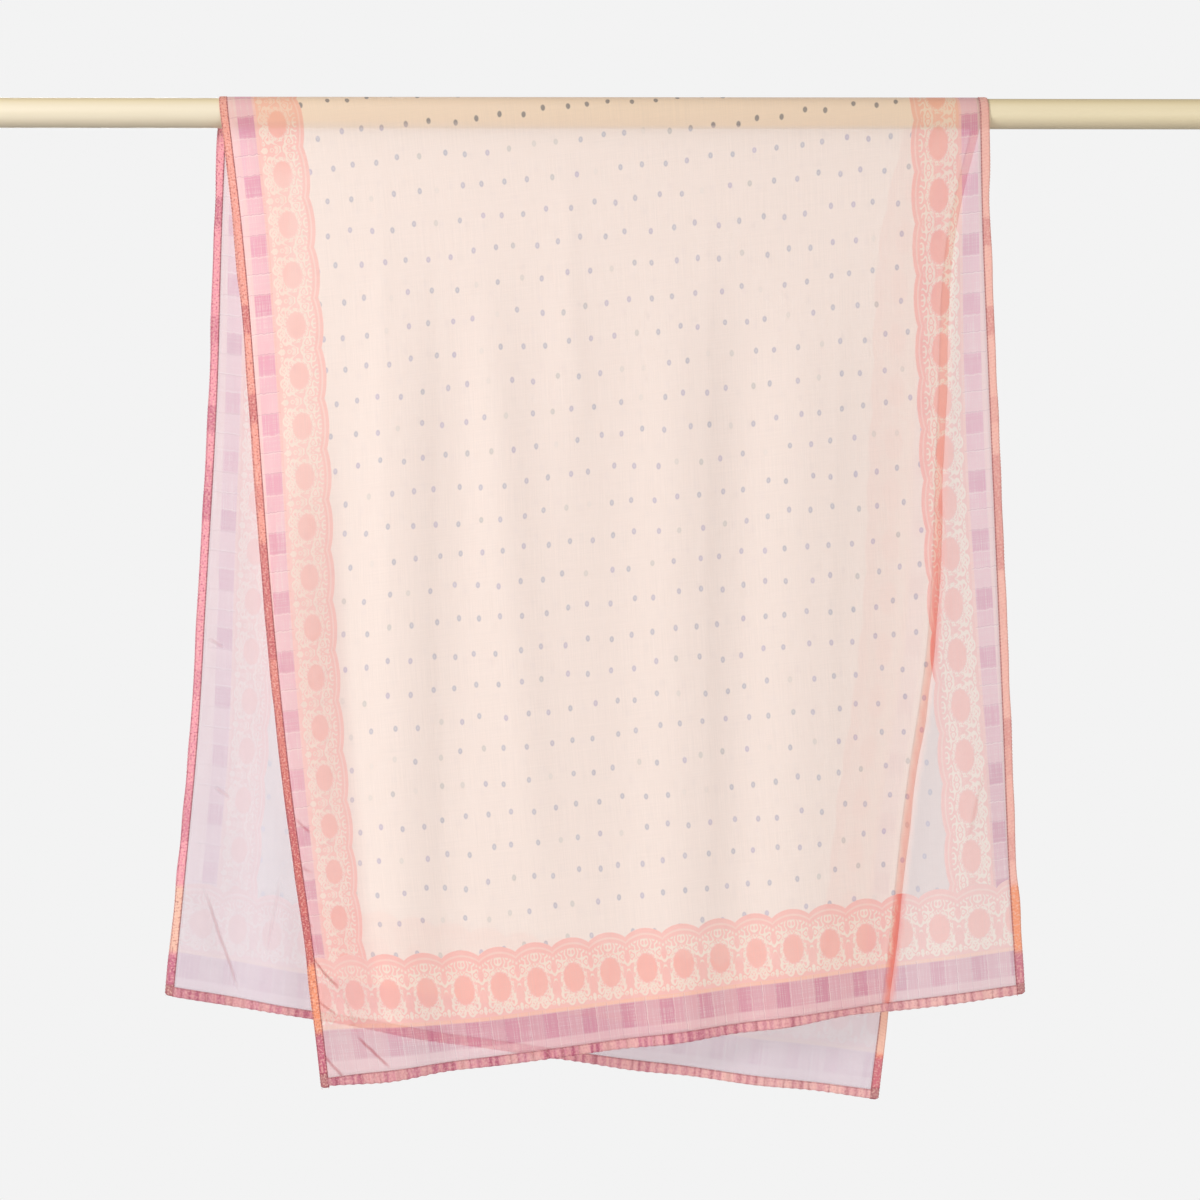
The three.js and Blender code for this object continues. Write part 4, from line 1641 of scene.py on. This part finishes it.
def pale_floor():
    mesh = bpy.data.meshes.new("floor")
    signs = ((-1, -1), (1, -1), (1, 1), (-1, 1))
    corners = [(FLOOR_HALF * x, FLOOR_HALF * y, FLOOR_LEVEL) for x, y in signs]
    mesh.from_pydata(corners, [], [(0, 1, 2, 3)])
    material = bpy.data.materials.new("pale_floor")
    material.use_nodes = True
    surface = material.node_tree.nodes["Principled BSDF"]
    surface.inputs["Base Color"].default_value = dye(240, 240, 240)
    surface.inputs["Roughness"].default_value = 0.8
    mesh.materials.append(material)
    floor = add_object("floor", mesh)


SURROUND = 0.896
SURROUND_LIGHT = 0.36


def pale_surround():
    """A pale surround: bright to the eye, and weaker as a lamp."""
    world = bpy.data.worlds.new("pale_surround")
    world.use_nodes = True
    bpy.context.scene.world = world
    nodes, links = world.node_tree.nodes, world.node_tree.links
    background = nodes["Background"]
    background.inputs["Color"].default_value = (1, 1, 1, 1)
    path = nodes.new("ShaderNodeLightPath")
    level = nodes.new("ShaderNodeMapRange")
    level.inputs["To Min"].default_value = SURROUND_LIGHT
    level.inputs["To Max"].default_value = SURROUND
    links.new(path.outputs["Is Camera Ray"], level.inputs["Value"])
    links.new(level.outputs[0], background.inputs["Strength"])


def soft_lamp(name, place, aim, size, power):
    lamp = bpy.data.lights.new(name, "AREA")
    lamp.shape = "RECTANGLE"
    lamp.size, lamp.size_y = size
    lamp.energy = power
    made = add_object(name, lamp)
    made.location = place
    made.rotation_euler = (Vector(aim) - Vector(place)).to_track_quat("-Z", "Y").to_euler()


# name, place, what it is aimed at, size, power
LAMPS = (
    ("key", (-2.7, -2.3, 0.9), (0, 0, -0.4), (1.4, 1.4), 120),
    ("fill", (2.2, -2.8, -0.2), (0, 0, -0.45), (1.8, 1.8), 26),
    ("back", (-1.2, 3.0, 0.4), (0, 0, -0.45), (2.0, 2.0), 60),
)
pale_floor()
pale_surround()
for lamp in LAMPS:
    soft_lamp(*lamp)

# %% Camera
VIEW_WIDTH = 1.120
CAMERA_DISTANCE = 3.0
SENSOR_WIDTH = 36.0
camera_data = bpy.data.cameras.new("camera")
camera_data.sensor_width = SENSOR_WIDTH
camera_data.lens = SENSOR_WIDTH * CAMERA_DISTANCE / VIEW_WIDTH
camera = add_object("camera", camera_data)
camera.location = (-0.00233, -CAMERA_DISTANCE, -0.4540)
camera.rotation_euler = (math.pi / 2, -0.0012, 0)
bpy.context.scene.camera = camera
bpy.context.scene.view_settings.view_transform = "Standard"
